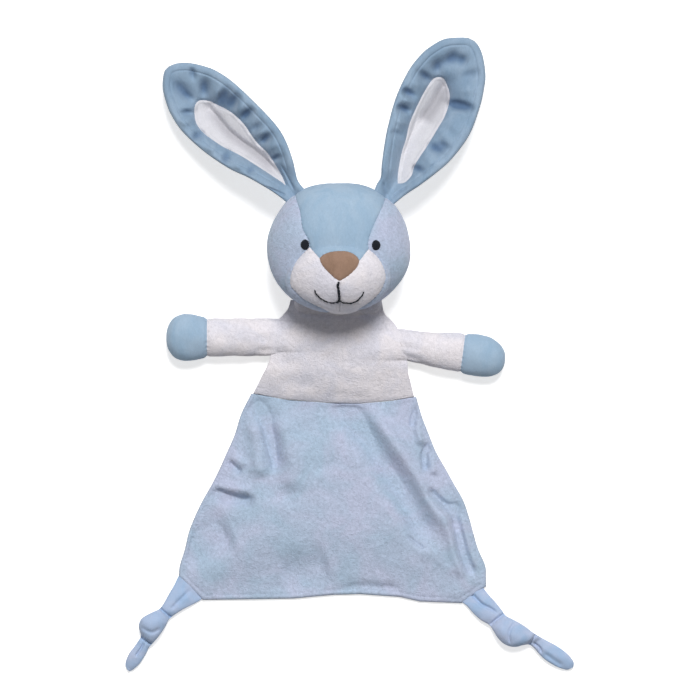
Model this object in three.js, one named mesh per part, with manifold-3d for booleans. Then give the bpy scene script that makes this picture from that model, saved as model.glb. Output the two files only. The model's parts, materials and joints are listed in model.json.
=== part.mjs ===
// A comfort blanket with a bunny's head and arms, lying on its back.
// X runs to the right, Y to the ears and Z up, in millimetres. The origin is under the middle of
// the chest, on the surface that the toy lies on.
import * as THREE from 'three';
import { mergeVertices } from 'three/addons/utils/BufferGeometryUtils.js';
import Module from 'manifold-3d';

const wasm = await Module();
wasm.setup();

// Cloth, the gaps in a seam, and cutters
const cloth = 1.4;
const seamGap = 0.3;
const hingeGap = 0.35;
const pressed = 0.5;
const overrun = 8;
const twoLayers = 2 * cloth + seamGap;
const foldRadius = twoLayers / 2;
const lip = 1.2;

// Head, a stuffed ball a little squarer than an egg
const headWidth = 78;
const headHeight = 71;
const headDepth = 60;
const headAhead = 62;
const headPlanPower = 2.4;
const headDepthPower = 2.2;
const headSidesCount = 28;
const headRingsCount = 16;
const muzzleWidth = 57;
const muzzleHeight = 36;
const muzzleRise = 9;
const muzzleDrop = 18;
const chinHeight = 37;
const eyeWidth = 4.4;
const eyeHeight = 5.4;
const eyeThickness = 1;
const threadWidth = 1;

// Neck, a ball of wadding between the head and the chest
const neckWidth = 25;
const neckAhead = 29;
const neckLift = 13;
const neckGap = 0.8;

// Ears
const earLength = 99;
const earWidth = 44;
const earPuff = 3.4;
const earCup = 5;
const earValley = 2.2;
const earGap = 0.7;

// Arms
const armWidth = 21.5;
const armDepth = 18;

// Chest
const chestDepth = 19;
const sideSeamLift = 8;
const waistBehind = 22;
const waistWidth = 91;
const neckEdgeAhead = 32;

// Skirt and its tails
const skirtLength = 109.4;
const skirtWidth = 169.2;
const skirtBillow = 5;
const foldDepth = 3;
const foldWidth = 7;
const tailWidth = 14;
const tailDepth = 9;
const knotWidth = 15;
const knotDepth = 11;
const knotThickness = 9;

// Where things lie on the head, as shares of half its width and half its height from its middle
const foreheadShares = [[-0.62, 1.2], [-0.606, 0.78], [-0.564, 0.486], [-0.437, 0.206],
  [-0.423, -0.01], [-0.268, -0.167], [0.02, -0.3], [0.319, -0.198], [0.437, -0.01],
  [0.451, 0.13], [0.55, 0.486], [0.691, 0.78], [0.7, 1.2]];
const muzzleShares = [[-0.409, 0], [-0.606, -0.26], [-0.691, -0.524], [-0.663, -0.664],
  [-0.494, -0.866], [-0.3, -1.08], [0, -1.2], [0.35, -1.08], [0.508, -0.835], [0.663, -0.62],
  [0.677, -0.431], [0.578, -0.213], [0.437, 0], [0.319, -0.198], [0.02, -0.3], [-0.268, -0.167]];
const noseShares = [[-0.268, -0.167], [-0.14, -0.1], [0.02, -0.085], [0.18, -0.11], [0.319, -0.198],
  [0.27, -0.33], [0.15, -0.47], [0.02, -0.535], [-0.11, -0.46], [-0.22, -0.31]];
const eyeShares = { left: [-0.469, 0.04], right: [0.536, 0.028] };
const mouthShares = {
  left: [[0.01, -0.56], [0.02, -0.7], [0.018, -0.8], [-0.045, -0.86], [-0.14, -0.858],
    [-0.246, -0.788], [-0.328, -0.664]],
  right: [[0.12, -0.862], [0.183, -0.858], [0.305, -0.773], [0.367, -0.695]],
};

// Ear edges: how far along, then each edge's distance from the middle line, as shares
const ears = {
  left: {
    turn: 44,
    edgeShares: [[0, -0.34, 0.34], [0.11, -0.4, 0.62], [0.22, -0.53, 0.85], [0.33, -0.7, 0.95],
      [0.5, -0.87, 1.01], [0.67, -0.92, 0.96], [0.78, -0.83, 0.9], [0.89, -0.67, 0.66],
      [0.96, -0.42, 0.4], [1, -0.14, 0.12]],
    liningShares: [[0.02, 0.06], [0.17, 0.12], [0.265, 0.26], [0.29, 0.39], [0.32, 0.48],
      [0.29, 0.6], [0.13, 0.69], [-0.05, 0.745], [-0.25, 0.735], [-0.45, 0.64], [-0.5, 0.51],
      [-0.35, 0.38], [-0.215, 0.28], [-0.1, 0.15]],
  },
  right: {
    turn: -27,
    edgeShares: [[0, -0.35, 0.41], [0.11, -0.48, 0.69], [0.22, -0.66, 0.93], [0.33, -0.8, 1.09],
      [0.5, -0.94, 1.18], [0.67, -0.93, 1.08], [0.78, -0.88, 1.0], [0.89, -0.68, 0.78],
      [0.96, -0.42, 0.5], [1, -0.14, 0.2]],
    liningShares: [[0.08, 0.05], [0.29, 0.11], [0.28, 0.23], [0.36, 0.34], [0.4, 0.53],
      [0.35, 0.63], [0.145, 0.71], [-0.17, 0.735], [-0.33, 0.63], [-0.32, 0.51],
      [-0.28, 0.39], [-0.12, 0.235], [0, 0.07]],
  },
};

// Arms: how far along, then half the width and half the depth, as shares
const armShares = [[0, 0.8, 0.172], [0.08, 0.88, 0.56], [0.18, 0.95, 0.88], [0.32, 1, 1],
  [0.48, 1, 1], [0.58, 0.99, 0.97], [0.62, 1, 1], [0.72, 1.12, 1.08], [0.82, 1.12, 1.08],
  [0.91, 0.92, 0.92], [0.97, 0.6, 0.62], [1, 0.2, 0.25]];
const arms = {
  left: { side: -1, length: 58, droop: 0, pawShare: 0.61 },
  right: { side: 1, length: 56, droop: 4.5, pawShare: 0.59 },
};

// Chest: how far from waist to neck, then its left and right edges as shares of half the waist
const chestEdgeShares = [[0, -1.044, 0.945], [0.16, -0.967, 0.892], [0.26, -0.905, 0.862],
  [0.39, -0.842, 0.844], [0.76, -0.765, 0.727], [0.88, -0.681, 0.611], [1, -0.604, 0.554]];
const chestRowShares = [0, 0.08, 0.16, 0.26, 0.39, 0.58, 0.76, 0.88, 1];
const chestDepthShares = [[0, 0.163], [0.08, 0.36], [0.16, 0.56], [0.26, 0.75], [0.39, 0.9],
  [0.58, 1], [0.88, 0.98], [1, 0.9]];
const armholeShares = [0.39, 0.76];

// Skirt: how far from waist to hem, then its left and right edges as shares of half its width
const skirtEdgeShares = [[0, -0.561, 0.508], [0.1, -0.631, 0.546], [0.18, -0.67, 0.591],
  [0.26, -0.721, 0.637], [0.34, -0.767, 0.696], [0.42, -0.819, 0.754], [0.5, -0.878, 0.813],
  [0.583, -0.93, 0.851], [0.66, -0.969, 0.878], [0.744, -0.995, 0.91], [0.825, -1.027, 0.956],
  [0.883, -1.034, 0.962], [1, -1.038, 0.962]];
const hemShares = [[-1, 0.883], [-0.84, 1], [-0.25, 0.995], [0, 0.975], [0.18, 0.971],
  [0.44, 0.985], [0.57, 1.01], [0.84, 1.016], [1, 0.931]];
const cornerShare = 0.84;
// Valleys between the folds, each from one place to another, as across and along shares
const valleyShares = [[[-0.95, 0.05], [-0.42, 0.4]], [[0.2, 0.08], [0.42, 0.42]],
  [[0.42, 0.42], [0.72, 0.72]], [[-0.82, 0.46], [-0.5, 0.62]], [[0.62, 0.55], [0.8, 0.95]]];

// Tails: the middle line's places from the corner, then half widths and half depths along it
const tailShares = [[0, 1.3, 0.34], [0.1, 1.05, 0.5], [0.22, 0.92, 0.8], [0.34, 0.8, 1],
  [0.46, 0.85, 1], [0.58, 0.62, 0.7], [0.7, 0.6, 0.5], [0.84, 0.58, 0.42], [0.95, 0.36, 0.34],
  [1, 0.12, 0.2]];
const knotShare = 0.42;
const wrapShare = 0.34;
const wrapTurn = Math.PI / 8;
const tails = {
  left: { side: -1, length: 60, routeShares: [[0, 0], [-0.12, -0.12], [-0.24, -0.22],
    [-0.35, -0.33], [-0.41, -0.45], [-0.48, -0.56], [-0.54, -0.68], [-0.59, -0.78]] },
  right: { side: 1, length: 69, routeShares: [[0, 0], [0.1, -0.1], [0.21, -0.22], [0.31, -0.31],
    [0.44, -0.37], [0.56, -0.42], [0.68, -0.49], [0.79, -0.58]] },
};

function fabric(color, roughness) {
  return new THREE.MeshStandardMaterial({ color, roughness, metalness: 0 });
}
const velourBlue = () => fabric(0xabc5dd, 0.9);
const plushPale = () => fabric(0xb9c6dc, 0.95);
const plushWhite = () => fabric(0xe8e4ea, 0.95);
const noseTaupe = () => fabric(0x967c6a, 0.85);
const threadBlack = () => fabric(0x0a131f, 0.8);
const wadding = () => fabric(0xf4f4f2, 1);

function evenly(count, from, to) {
  return Array.from({ length: count + 1 }, (_, step) => from + ((to - from) * step) / count);
}

// The value in one column of a table, between the two rows on either side of a place
function valueAt(table, place, column) {
  const next = table.findIndex((row) => row[0] >= place);
  if (next === 0) return table[0][column];
  if (next < 0) return table[table.length - 1][column];
  const [before, after] = [table[next - 1], table[next]];
  const between = (place - before[0]) / (after[0] - before[0]);
  return THREE.MathUtils.lerp(before[column], after[column], between);
}

// How much is left of a half thickness this far past the fold line that it turns about
function roundedEnd(half, past) {
  return past > 0 ? Math.sqrt(half * half - past * past) : half;
}

function geometryOf(points, index) {
  const geometry = new THREE.BufferGeometry();
  const flat = points.flatMap((point) => point.toArray());
  geometry.setAttribute('position', new THREE.Float32BufferAttribute(flat, 3));
  geometry.setIndex(index);
  return geometry;
}

// A closed geometry as a solid for joining and cutting, turned so that its faces point out
function solid(geometry) {
  const bare = geometry.clone();
  bare.deleteAttribute('normal');
  bare.deleteAttribute('uv');
  const merged = mergeVertices(bare);
  const points = merged.getAttribute('position');
  const corners = Array.from(merged.index.array);
  const [a, b, c] = [new THREE.Vector3(), new THREE.Vector3(), new THREE.Vector3()];
  let volume = 0;
  for (let i = 0; i < corners.length; i += 3) {
    a.fromBufferAttribute(points, corners[i]);
    b.fromBufferAttribute(points, corners[i + 1]);
    c.fromBufferAttribute(points, corners[i + 2]);
    volume += a.dot(b.cross(c));
  }
  if (volume < 0) corners.reverse();
  return new wasm.Manifold(new wasm.Mesh({
    numProp: 3,
    vertProperties: Float32Array.from(points.array),
    triVerts: Uint32Array.from(corners),
  }));
}

function meshOf(name, piece, material) {
  const { vertProperties, triVerts, numProp } = piece.getMesh();
  const geometry = new THREE.BufferGeometry();
  geometry.setAttribute('position', new THREE.BufferAttribute(vertProperties, numProp));
  geometry.setIndex(new THREE.BufferAttribute(triVerts, 1));
  geometry.computeVertexNormals();
  const mesh = new THREE.Mesh(geometry, material);
  mesh.name = name;
  return mesh;
}

// A layer between two surfaces, each given as a point for every across and along share
function layer(across, along, over, under) {
  const stride = across.length;
  const side = stride * along.length;
  const points = [over, under].flatMap((surface) => along.flatMap(
    (t) => across.map((s) => surface(s, t)),
  ));
  const index = [];
  const quad = (a, b, c, d) => index.push(a, b, c, a, c, d);
  for (let j = 0; j < along.length - 1; j += 1) {
    for (let i = 0; i < stride - 1; i += 1) {
      const a = j * stride + i;
      quad(a, a + 1, a + stride + 1, a + stride);
      quad(side + a, side + a + stride, side + a + stride + 1, side + a + 1);
    }
    const [left, right] = [j * stride, j * stride + stride - 1];
    quad(left, left + stride, side + left + stride, side + left);
    quad(right + stride, right, side + right, side + right + stride);
  }
  for (let i = 0; i < stride - 1; i += 1) {
    const far = side - stride + i;
    quad(i + 1, i, side + i, side + i + 1);
    quad(far, far + 1, side + far + 1, side + far);
  }
  return solid(geometryOf(points, index));
}

// A skin over a row of closed rings, with a fan of triangles on each end
function loft(rings) {
  const around = rings[0].length;
  const middle = (ring) => ring.reduce((sum, point) => sum.add(point), new THREE.Vector3())
    .divideScalar(around);
  const points = [...rings.flat(), middle(rings[0]), middle(rings[rings.length - 1])];
  const [start, end] = [points.length - 2, points.length - 1];
  const index = [];
  for (let i = 0; i < around; i += 1) {
    const next = (i + 1) % around;
    for (let j = 0; j < rings.length - 1; j += 1) {
      const [low, high] = [j * around, (j + 1) * around];
      index.push(low + i, low + next, high + next, low + i, high + next, high + i);
    }
    const last = (rings.length - 1) * around;
    index.push(start, next, i, end, last + i, last + next);
  }
  return solid(geometryOf(points, index));
}

// An ellipse around a middle, between one direction and another
function ringAround(middle, wide, deep, halfWidth, halfDepth, sides) {
  return evenly(sides, 0, 2 * Math.PI).slice(0, sides).map((angle) => middle.clone()
    .addScaledVector(wide, halfWidth * Math.cos(angle))
    .addScaledVector(deep, halfDepth * Math.sin(angle)));
}

// An outline moved outwards by a distance
function grown(outline, distance) {
  const count = outline.length;
  const turnsLeft = THREE.ShapeUtils.area(outline) > 0 ? 1 : -1;
  return outline.map((point, i) => {
    const before = point.clone().sub(outline[(i + count - 1) % count]).normalize();
    const after = outline[(i + 1) % count].clone().sub(point).normalize();
    const along = before.add(after).normalize();
    const reach = (turnsLeft * distance) / Math.max(along.dot(after), 0.5);
    return new THREE.Vector2(point.x + along.y * reach, point.y - along.x * reach);
  });
}

// A straight block over an outline, from one height to another
function prism(outline, low, high) {
  const shape = new THREE.Shape(outline);
  const geometry = new THREE.ExtrudeGeometry(shape, { depth: high - low, bevelEnabled: false });
  return solid(geometry.translate(0, 0, low));
}

// Everything in a big box between two corners
function block(low, high) {
  const size = high.clone().sub(low);
  const middle = low.clone().add(high).multiplyScalar(0.5);
  const geometry = new THREE.BoxGeometry(size.x, size.y, size.z);
  return solid(geometry.translate(middle.x, middle.y, middle.z));
}

// All that lies above the surface that the toy rests on
const farReach = skirtLength + skirtWidth + earLength + headHeight;
const aboveFloor = block(
  new THREE.Vector3(-farReach, -farReach, 0),
  new THREE.Vector3(farReach, farReach, farReach),
);

// Head
const headMiddle = new THREE.Vector3(0, headAhead, headDepth / 2 - pressed);
const neckMiddle = new THREE.Vector3(0, neckAhead, neckLift);

function headReach(way) {
  const plan = (Math.abs(way.x) / (headWidth / 2)) ** headPlanPower
    + (Math.abs(way.y) / (headHeight / 2)) ** headPlanPower;
  const deep = (Math.abs(way.z) / (headDepth / 2)) ** headDepthPower;
  const reach = (plan ** (headDepthPower / headPlanPower) + deep) ** (-1 / headDepthPower);
  const across = (way.x * reach) / (muzzleWidth / 2);
  const down = (way.y * reach + muzzleDrop) / (muzzleHeight / 2);
  const inside = Math.max(1 - across * across - down * down, 0);
  const facing = THREE.MathUtils.smoothstep(way.z, 0, 0.35);
  return reach + muzzleRise * facing * inside ** 0.7;
}

function headBall(inset) {
  const ball = new THREE.SphereGeometry(1, headSidesCount, headRingsCount).rotateX(Math.PI / 2);
  const points = ball.getAttribute('position');
  const way = new THREE.Vector3();
  for (let i = 0; i < points.count; i += 1) {
    way.fromBufferAttribute(points, i).normalize();
    way.multiplyScalar(headReach(way) - inset).add(headMiddle);
    points.setXYZ(i, way.x, way.y, way.z);
  }
  return solid(ball);
}

// The point of the face in front of a place, which lies out from the skin by a distance
function onFace([across, up], out) {
  const x = (across * headWidth) / 2;
  const y = (up * headHeight) / 2;
  let [near, far] = [0, headDepth];
  const way = new THREE.Vector3();
  for (let step = 0; step < 30; step += 1) {
    const height = (near + far) / 2;
    way.set(x, y, height);
    const distance = way.length();
    if (distance > headReach(way.divideScalar(distance)) + out) far = height;
    else near = height;
  }
  return new THREE.Vector3(x, y, near).add(headMiddle);
}

function onHeadPlan(shares) {
  return shares.map(([across, up]) => new THREE.Vector2(
    headMiddle.x + (across * headWidth) / 2,
    headMiddle.y + (up * headHeight) / 2,
  ));
}

function neckBall(clearance, sides, rings) {
  const ball = new THREE.SphereGeometry(neckWidth / 2 + clearance, sides, rings);
  return solid(ball.translate(neckMiddle.x, neckMiddle.y, neckMiddle.z));
}

function eye(place) {
  const seat = onFace(place, 0);
  const out = seat.clone().sub(headMiddle).normalize();
  const button = new THREE.SphereGeometry(1, 14, 8)
    .scale(eyeWidth / 2, eyeHeight / 2, eyeThickness + seamGap)
    .applyQuaternion(new THREE.Quaternion().setFromUnitVectors(new THREE.Vector3(0, 0, 1), out))
    .translate(seat.x, seat.y, seat.z);
  return solid(button).subtract(headBall(-seamGap));
}

function mouthStitch(shares) {
  const out = threadWidth / 2 + seamGap;
  const route = new THREE.CatmullRomCurve3(shares.map((place) => onFace(place, out)));
  const section = new THREE.Shape().absarc(0, 0, threadWidth / 2, 0, 2 * Math.PI);
  const thread = new THREE.ExtrudeGeometry(section, {
    extrudePath: route, steps: 4 * (shares.length - 1), curveSegments: 3, bevelEnabled: false,
  });
  return solid(thread).subtract(headBall(-seamGap / 2));
}

function headGroup() {
  const reach = headWidth;
  const seamHeight = headMiddle.z;
  const top = seamHeight + headDepth;
  const corner = (x, y, z) => new THREE.Vector3(x * reach, headMiddle.y + y * reach, z);
  const front = block(corner(-1, -1, seamHeight + seamGap / 2), corner(1, 1, top));
  const back = block(corner(-1, -1, -overrun), corner(1, 1, seamHeight - seamGap / 2));
  const half = (side) => block(
    new THREE.Vector3(side < 0 ? -reach : seamGap / 2, -reach, -overrun),
    new THREE.Vector3(side < 0 ? -seamGap / 2 : reach, 3 * reach, top),
  );
  const [leftHalf, rightHalf] = [half(-1), half(1)];

  const neckHole = neckBall(neckGap, 24, 16);
  const skin = headBall(0).subtract(headBall(cloth)).subtract(neckHole).intersect(aboveFloor);
  const filling = headBall(cloth + seamGap).subtract(neckHole);

  const cutter = (shares, by, low) => prism(grown(onHeadPlan(shares), by), low, top);
  const foreheadCut = cutter(foreheadShares, seamGap / 2, -overrun);
  const muzzleCut = cutter(muzzleShares, seamGap / 2, chinHeight - seamGap / 2);
  const noseCut = cutter(noseShares, seamGap / 2, -overrun);
  const face = skin.intersect(front);
  const forehead = face.intersect(cutter(foreheadShares, -seamGap / 2, 0)).subtract(noseCut);
  const muzzle = face.intersect(cutter(muzzleShares, -seamGap / 2, chinHeight + seamGap / 2))
    .subtract(noseCut).subtract(foreheadCut);
  const nose = face.intersect(cutter(noseShares, -seamGap / 2, 0));
  const sides = face.subtract(foreheadCut).subtract(muzzleCut).subtract(noseCut);
  const rear = skin.intersect(back);

  const group = new THREE.Group();
  group.add(
    meshOf('head_filling', filling, wadding()),
    meshOf('forehead_panel', forehead, velourBlue()),
    meshOf('head_side_left', sides.intersect(leftHalf), plushPale()),
    meshOf('head_side_right', sides.intersect(rightHalf), plushPale()),
    meshOf('head_back_left', rear.intersect(leftHalf), plushPale()),
    meshOf('head_back_right', rear.intersect(rightHalf), plushPale()),
    meshOf('muzzle_left', muzzle.intersect(leftHalf), plushWhite()),
    meshOf('muzzle_right', muzzle.intersect(rightHalf), plushWhite()),
    meshOf('nose_panel', nose, noseTaupe()),
    meshOf('eye_left', eye(eyeShares.left), threadBlack()),
    meshOf('eye_right', eye(eyeShares.right), threadBlack()),
    meshOf('mouth_stitch_left', mouthStitch(mouthShares.left), threadBlack()),
    meshOf('mouth_stitch_right', mouthStitch(mouthShares.right), threadBlack()),
  );
  return group;
}

// Ears. In its own frame an ear runs along Y from its fold line, with its front face up.
const earRowShares = [-lip / earLength, 0, 0.1, 0.2, 0.32, 0.46, 0.6, 0.74, 0.85, 0.93, 0.98, 1];
const earColumnShares = evenly(8, -1, 1);

function earSurface(ear, across, along, front, inset) {
  const middle = along > 0 ? Math.sin(Math.PI * along) : 0;
  const [low, high] = [valueAt(ear.edgeShares, along, 1), valueAt(ear.edgeShares, along, 2)];
  const x = (THREE.MathUtils.lerp(low, high, (across + 1) / 2) * earWidth) / 2;
  const puff = earPuff * (1 - across ** 4) * Math.sqrt(middle);
  const valley = earValley * Math.exp(-((across / 0.4) ** 2)) * middle;
  const cup = earCup * across * across * middle;
  const half = roundedEnd(foldRadius, -along * earLength);
  const over = half + (2 / 3) * puff - valley - inset;
  const under = half + puff / 3 - inset;
  const y = along * earLength;
  if (front) return new THREE.Vector3(x, y, cup + Math.max(over, seamGap / 2));
  return new THREE.Vector3(x, y, cup - Math.max(under, seamGap / 2));
}

function earGroup(side) {
  const ear = ears[side];
  const turn = THREE.MathUtils.degToRad(ear.turn);
  const way = new THREE.Vector3(-Math.sin(turn), Math.cos(turn), 0);
  const surface = (front, inset) => (s, t) => earSurface(ear, s, t, front, inset);
  const rows = earRowShares;
  const columns = earColumnShares;
  const front = layer(columns, rows, surface(true, 0), surface(true, cloth));
  const rear = layer(columns, rows, surface(false, cloth), surface(false, 0));
  const padColumns = columns.slice(1, -1);
  const padRows = rows.filter((share) => share > 0.1 && share < 0.93);
  const inset = cloth + seamGap;
  const pad = layer(padColumns, padRows, surface(true, inset), surface(false, inset));

  const outline = ear.liningShares.map(([across, along]) => new THREE.Vector2(
    (across * earWidth) / 2,
    along * earLength,
  ));
  const cutter = (by) => prism(grown(outline, by), -earWidth, earWidth);
  const rim = front.subtract(cutter(seamGap / 2));
  const lining = front.intersect(cutter(-seamGap / 2));

  const group = new THREE.Group();
  const hinge = earHinge(side);
  group.position.copy(hinge);
  group.rotation.set(-Math.asin((hinge.z - foldRadius) / earLength), 0, turn, 'ZXY');
  group.add(
    meshOf(`ear_rim_${side}`, rim, velourBlue()),
    meshOf(`ear_lining_${side}`, lining, plushWhite()),
    meshOf(`ear_back_${side}`, rear, velourBlue()),
    meshOf(`ear_wadding_${side}`, pad, wadding()),
  );
  return group;
}

// An ear folds about a line just outside the head's side seam
function earHinge(side) {
  const rootShare = { left: -0.66, right: 0.68 }[side];
  const way = new THREE.Vector3((rootShare * headWidth) / 2, (0.86 * headHeight) / 2, 0).normalize();
  return way.multiplyScalar(headReach(way) + foldRadius + earGap).add(headMiddle);
}

// Chest
function chestEdge(along, column) {
  return (valueAt(chestEdgeShares, along, column) * waistWidth) / 2;
}

function chestPoint(across, along, height) {
  const x = THREE.MathUtils.lerp(chestEdge(along, 1), chestEdge(along, 2), (across + 1) / 2);
  const start = foldRadius + hingeGap - waistBehind;
  const end = neckEdgeAhead - height / 2;
  return new THREE.Vector3(x, THREE.MathUtils.lerp(start, end, along), height);
}

function chestSeamHeight(along) {
  return THREE.MathUtils.lerp(foldRadius, sideSeamLift, THREE.MathUtils.smoothstep(along, 0, 0.36));
}

function chestSurface(across, along, front, inset) {
  const seam = chestSeamHeight(along);
  const edge = seam + foldRadius;
  const crown = Math.max(valueAt(chestDepthShares, along, 1) * chestDepth, edge);
  const over = edge + (crown - edge) * (1 - Math.abs(across) ** 2.2) - inset;
  const curl = Math.max((Math.abs(across) - 0.55) / 0.45, 0);
  const under = (seam - foldRadius) * curl * curl + inset;
  if (front) return chestPoint(across, along, Math.max(over, seam + seamGap / 2));
  return chestPoint(across, along, Math.min(under, seam - seamGap / 2));
}

function chestGroup() {
  const columns = evenly(10, -1, 1);
  const surface = (front, inset) => (s, t) => chestSurface(s, t, front, inset);
  const inset = cloth + seamGap;
  const neckHole = neckBall(neckGap, 24, 16);
  const rows = chestRowShares;
  const front = layer(columns, rows, surface(true, 0), surface(true, cloth)).subtract(neckHole);
  const rear = layer(columns, rows, surface(false, cloth), surface(false, 0)).subtract(neckHole);
  const pad = layer(
    columns.slice(1, -1),
    rows.filter((share) => share > 0.1 && share < 0.9),
    surface(true, inset),
    surface(false, inset),
  ).subtract(neckHole);
  const group = new THREE.Group();
  group.add(
    meshOf('chest_front', front, plushWhite()),
    meshOf('chest_back', rear, plushWhite()),
    meshOf('chest_wadding', pad, wadding()),
    meshOf('neck_wadding', neckBall(0, 18, 12), wadding()),
  );
  return group;
}

// An arm folds about a line beside the chest's edge, where its armhole is sewn
function armHinge(side) {
  const across = arms[side].side;
  const [low, high] = armholeShares.map((share) => chestPoint(across, share, sideSeamLift));
  const line = high.clone().sub(low).normalize();
  const out = new THREE.Vector3(across * line.y, -across * line.x, 0);
  const middle = low.add(high).multiplyScalar(0.5).addScaledVector(out, foldRadius + hingeGap);
  return { middle, line };
}

function armSolid(side, inset, from, to) {
  const arm = arms[side];
  const { middle, line } = armHinge(side);
  const droop = THREE.MathUtils.degToRad(arm.droop);
  const way = new THREE.Vector3(arm.side * Math.cos(droop), -Math.sin(droop), 0);
  const square = new THREE.Vector3(-arm.side * way.y, arm.side * way.x, 0);
  const up = new THREE.Vector3(0, 0, 1);
  const places = armShares.map((row) => row[0]).filter((place) => place > from && place < to);
  const rings = [from, ...places, to].map((place) => {
    const past = -place * arm.length;
    const wide = line.clone().lerp(square, THREE.MathUtils.smoothstep(place, 0, 0.3)).normalize();
    const halfWidth = (valueAt(armShares, place, 1) * armWidth) / 2 - inset;
    const halfDepth = (valueAt(armShares, place, 2) * armDepth) / 2;
    const half = roundedEnd(halfDepth, past) - inset;
    const rest = THREE.MathUtils.lerp(
      sideSeamLift,
      halfDepth - pressed,
      THREE.MathUtils.smoothstep(place, 0, 0.2),
    );
    const centre = middle.clone().addScaledVector(way, place * arm.length);
    return ringAround(centre.setZ(rest), wide, up, halfWidth, half, 14);
  });
  return { body: loft(rings), way, middle };
}

function armGroup(side) {
  const arm = arms[side];
  const outer = armSolid(side, 0, -lip / arm.length, 1);
  const hollow = armSolid(side, cloth, 0.1, 1 - cloth / arm.length);
  const filling = armSolid(side, cloth + seamGap, 0.11, 1 - (cloth + seamGap) / arm.length);
  const shell = outer.body.subtract(hollow.body).intersect(aboveFloor);
  const seam = outer.middle.clone().addScaledVector(outer.way, arm.pawShare * arm.length);
  const isPaw = (gap) => {
    const box = new THREE.BoxGeometry(arm.length, 3 * armWidth, 3 * armDepth);
    box.translate(arm.length / 2 + gap, 0, 0);
    box.rotateZ(Math.atan2(outer.way.y, outer.way.x));
    return solid(box.translate(seam.x, seam.y, seam.z));
  };
  const group = new THREE.Group();
  group.add(
    meshOf(`sleeve_${side}`, shell.subtract(isPaw(-seamGap / 2)), plushWhite()),
    meshOf(`paw_${side}`, shell.intersect(isPaw(seamGap / 2)), velourBlue()),
    meshOf(`arm_filling_${side}`, filling.body, wadding()),
  );
  return group;
}

// Skirt, two layers of cloth sewn round their edges, the front one lifted in folds
function skirtPoint(across, along, height) {
  const down = along > 0 ? along * valueAt(hemShares, across, 1) : along;
  const [low, high] = [1, 2].map((column) => (valueAt(skirtEdgeShares, down, column)
    * skirtWidth) / 2);
  const x = THREE.MathUtils.lerp(low, high, (across + 1) / 2);
  return new THREE.Vector3(x, -waistBehind - down * skirtLength, height);
}

function skirtLift(across, along) {
  const here = skirtPoint(across, along, 0);
  const edge = (1 - Math.abs(across) ** 6) * Math.sin(Math.PI * Math.min(Math.max(along, 0), 1));
  const depth = valleyShares.reduce((sum, [from, to]) => {
    const [start, end] = [skirtPoint(...from, 0), skirtPoint(...to, 0)];
    const nearest = new THREE.Line3(start, end).closestPointToPoint(here, true, new THREE.Vector3());
    return Math.max(sum, Math.exp(-((nearest.distanceTo(here) / foldWidth) ** 2)));
  }, 0);
  return Math.max(edge, 0) * (skirtBillow - foldDepth * depth);
}

function skirtGroup() {
  const middle = evenly(10, -0.68, 0.68);
  const columns = [-1, -cornerShare, ...middle, cornerShare, 1];
  const rows = [-lip / skirtLength, 0, 0.05, ...evenly(10, 0.12, 1)];
  const half = (along) => roundedEnd(foldRadius, -along * skirtLength);
  const over = (s, t) => skirtPoint(s, t, foldRadius + half(t) + skirtLift(s, t));
  const inner = (s, t) => skirtPoint(
    s,
    t,
    foldRadius + Math.max(half(t) - cloth, seamGap / 2) + skirtLift(s, t),
  );
  const rearOver = (s, t) => skirtPoint(
    s,
    t,
    foldRadius - Math.max(half(t) - cloth, seamGap / 2),
  );
  const rearUnder = (s, t) => skirtPoint(s, t, foldRadius - half(t));
  const rearColumns = [-1, -cornerShare, -0.35, 0, 0.35, cornerShare, 1];
  const group = new THREE.Group();
  group.add(
    meshOf('skirt_front', layer(columns, rows, over, inner), plushPale()),
    meshOf('skirt_back', layer(rearColumns, rows, rearOver, rearUnder), plushPale()),
  );
  return group;
}

// A tail folds about a line beside the skirt's cut corner
function tailHinge(side) {
  const across = tails[side].side;
  const low = skirtPoint(across, 1, foldRadius);
  const high = skirtPoint(across * cornerShare, 1, foldRadius);
  const line = high.clone().sub(low).normalize();
  const out = new THREE.Vector3(-across * line.y, across * line.x, 0);
  const middle = low.clone().add(high).multiplyScalar(0.5)
    .addScaledVector(out, foldRadius + hingeGap);
  return { middle, line, out, width: low.distanceTo(high) };
}

function tail(side) {
  const { length, routeShares } = tails[side];
  const { middle, line, out, width } = tailHinge(side);
  const route = new THREE.CatmullRomCurve3(routeShares.map(([across, along]) => new THREE.Vector3(
    middle.x + across * length,
    middle.y + along * length,
    0,
  )));
  const up = new THREE.Vector3(0, 0, 1);
  const squareTo = (place) => new THREE.Vector3().crossVectors(up, route.getTangentAt(place));
  const places = tailShares.map((row) => row[0]);
  const rings = places.map((place) => {
    const halfDepth = (valueAt(tailShares, place, 2) * tailDepth) / 2;
    const wide = squareTo(place);
    if (wide.dot(line) < 0) wide.negate();
    wide.lerp(line, 1 - THREE.MathUtils.smoothstep(place, 0, 0.22)).normalize();
    const halfWidth = place > 0 ? (valueAt(tailShares, place, 1) * tailWidth) / 2 : width / 2;
    const rest = Math.max(halfDepth - pressed / 2, foldRadius);
    return ringAround(route.getPointAt(place).setZ(rest), wide, up, halfWidth, halfDepth, 10);
  });
  const root = ringAround(
    middle.clone().addScaledVector(out, -lip),
    line,
    up,
    width / 2,
    roundedEnd(foldRadius, lip),
    10,
  );
  const knotPlace = route.getPointAt(knotShare);
  const knotAngle = Math.atan2(squareTo(knotShare).y, squareTo(knotShare).x);
  const wrap = new THREE.TorusGeometry(1 - wrapShare, wrapShare, 8, 12)
    .scale(knotWidth / 2, knotDepth / 2, knotThickness / 2 / wrapShare)
    .rotateX(Math.PI / 2)
    .rotateZ(knotAngle + wrapTurn)
    .translate(knotPlace.x, knotPlace.y, knotDepth / 2 - pressed);
  return loft([root, ...rings]).add(solid(wrap)).intersect(aboveFloor);
}

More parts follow.
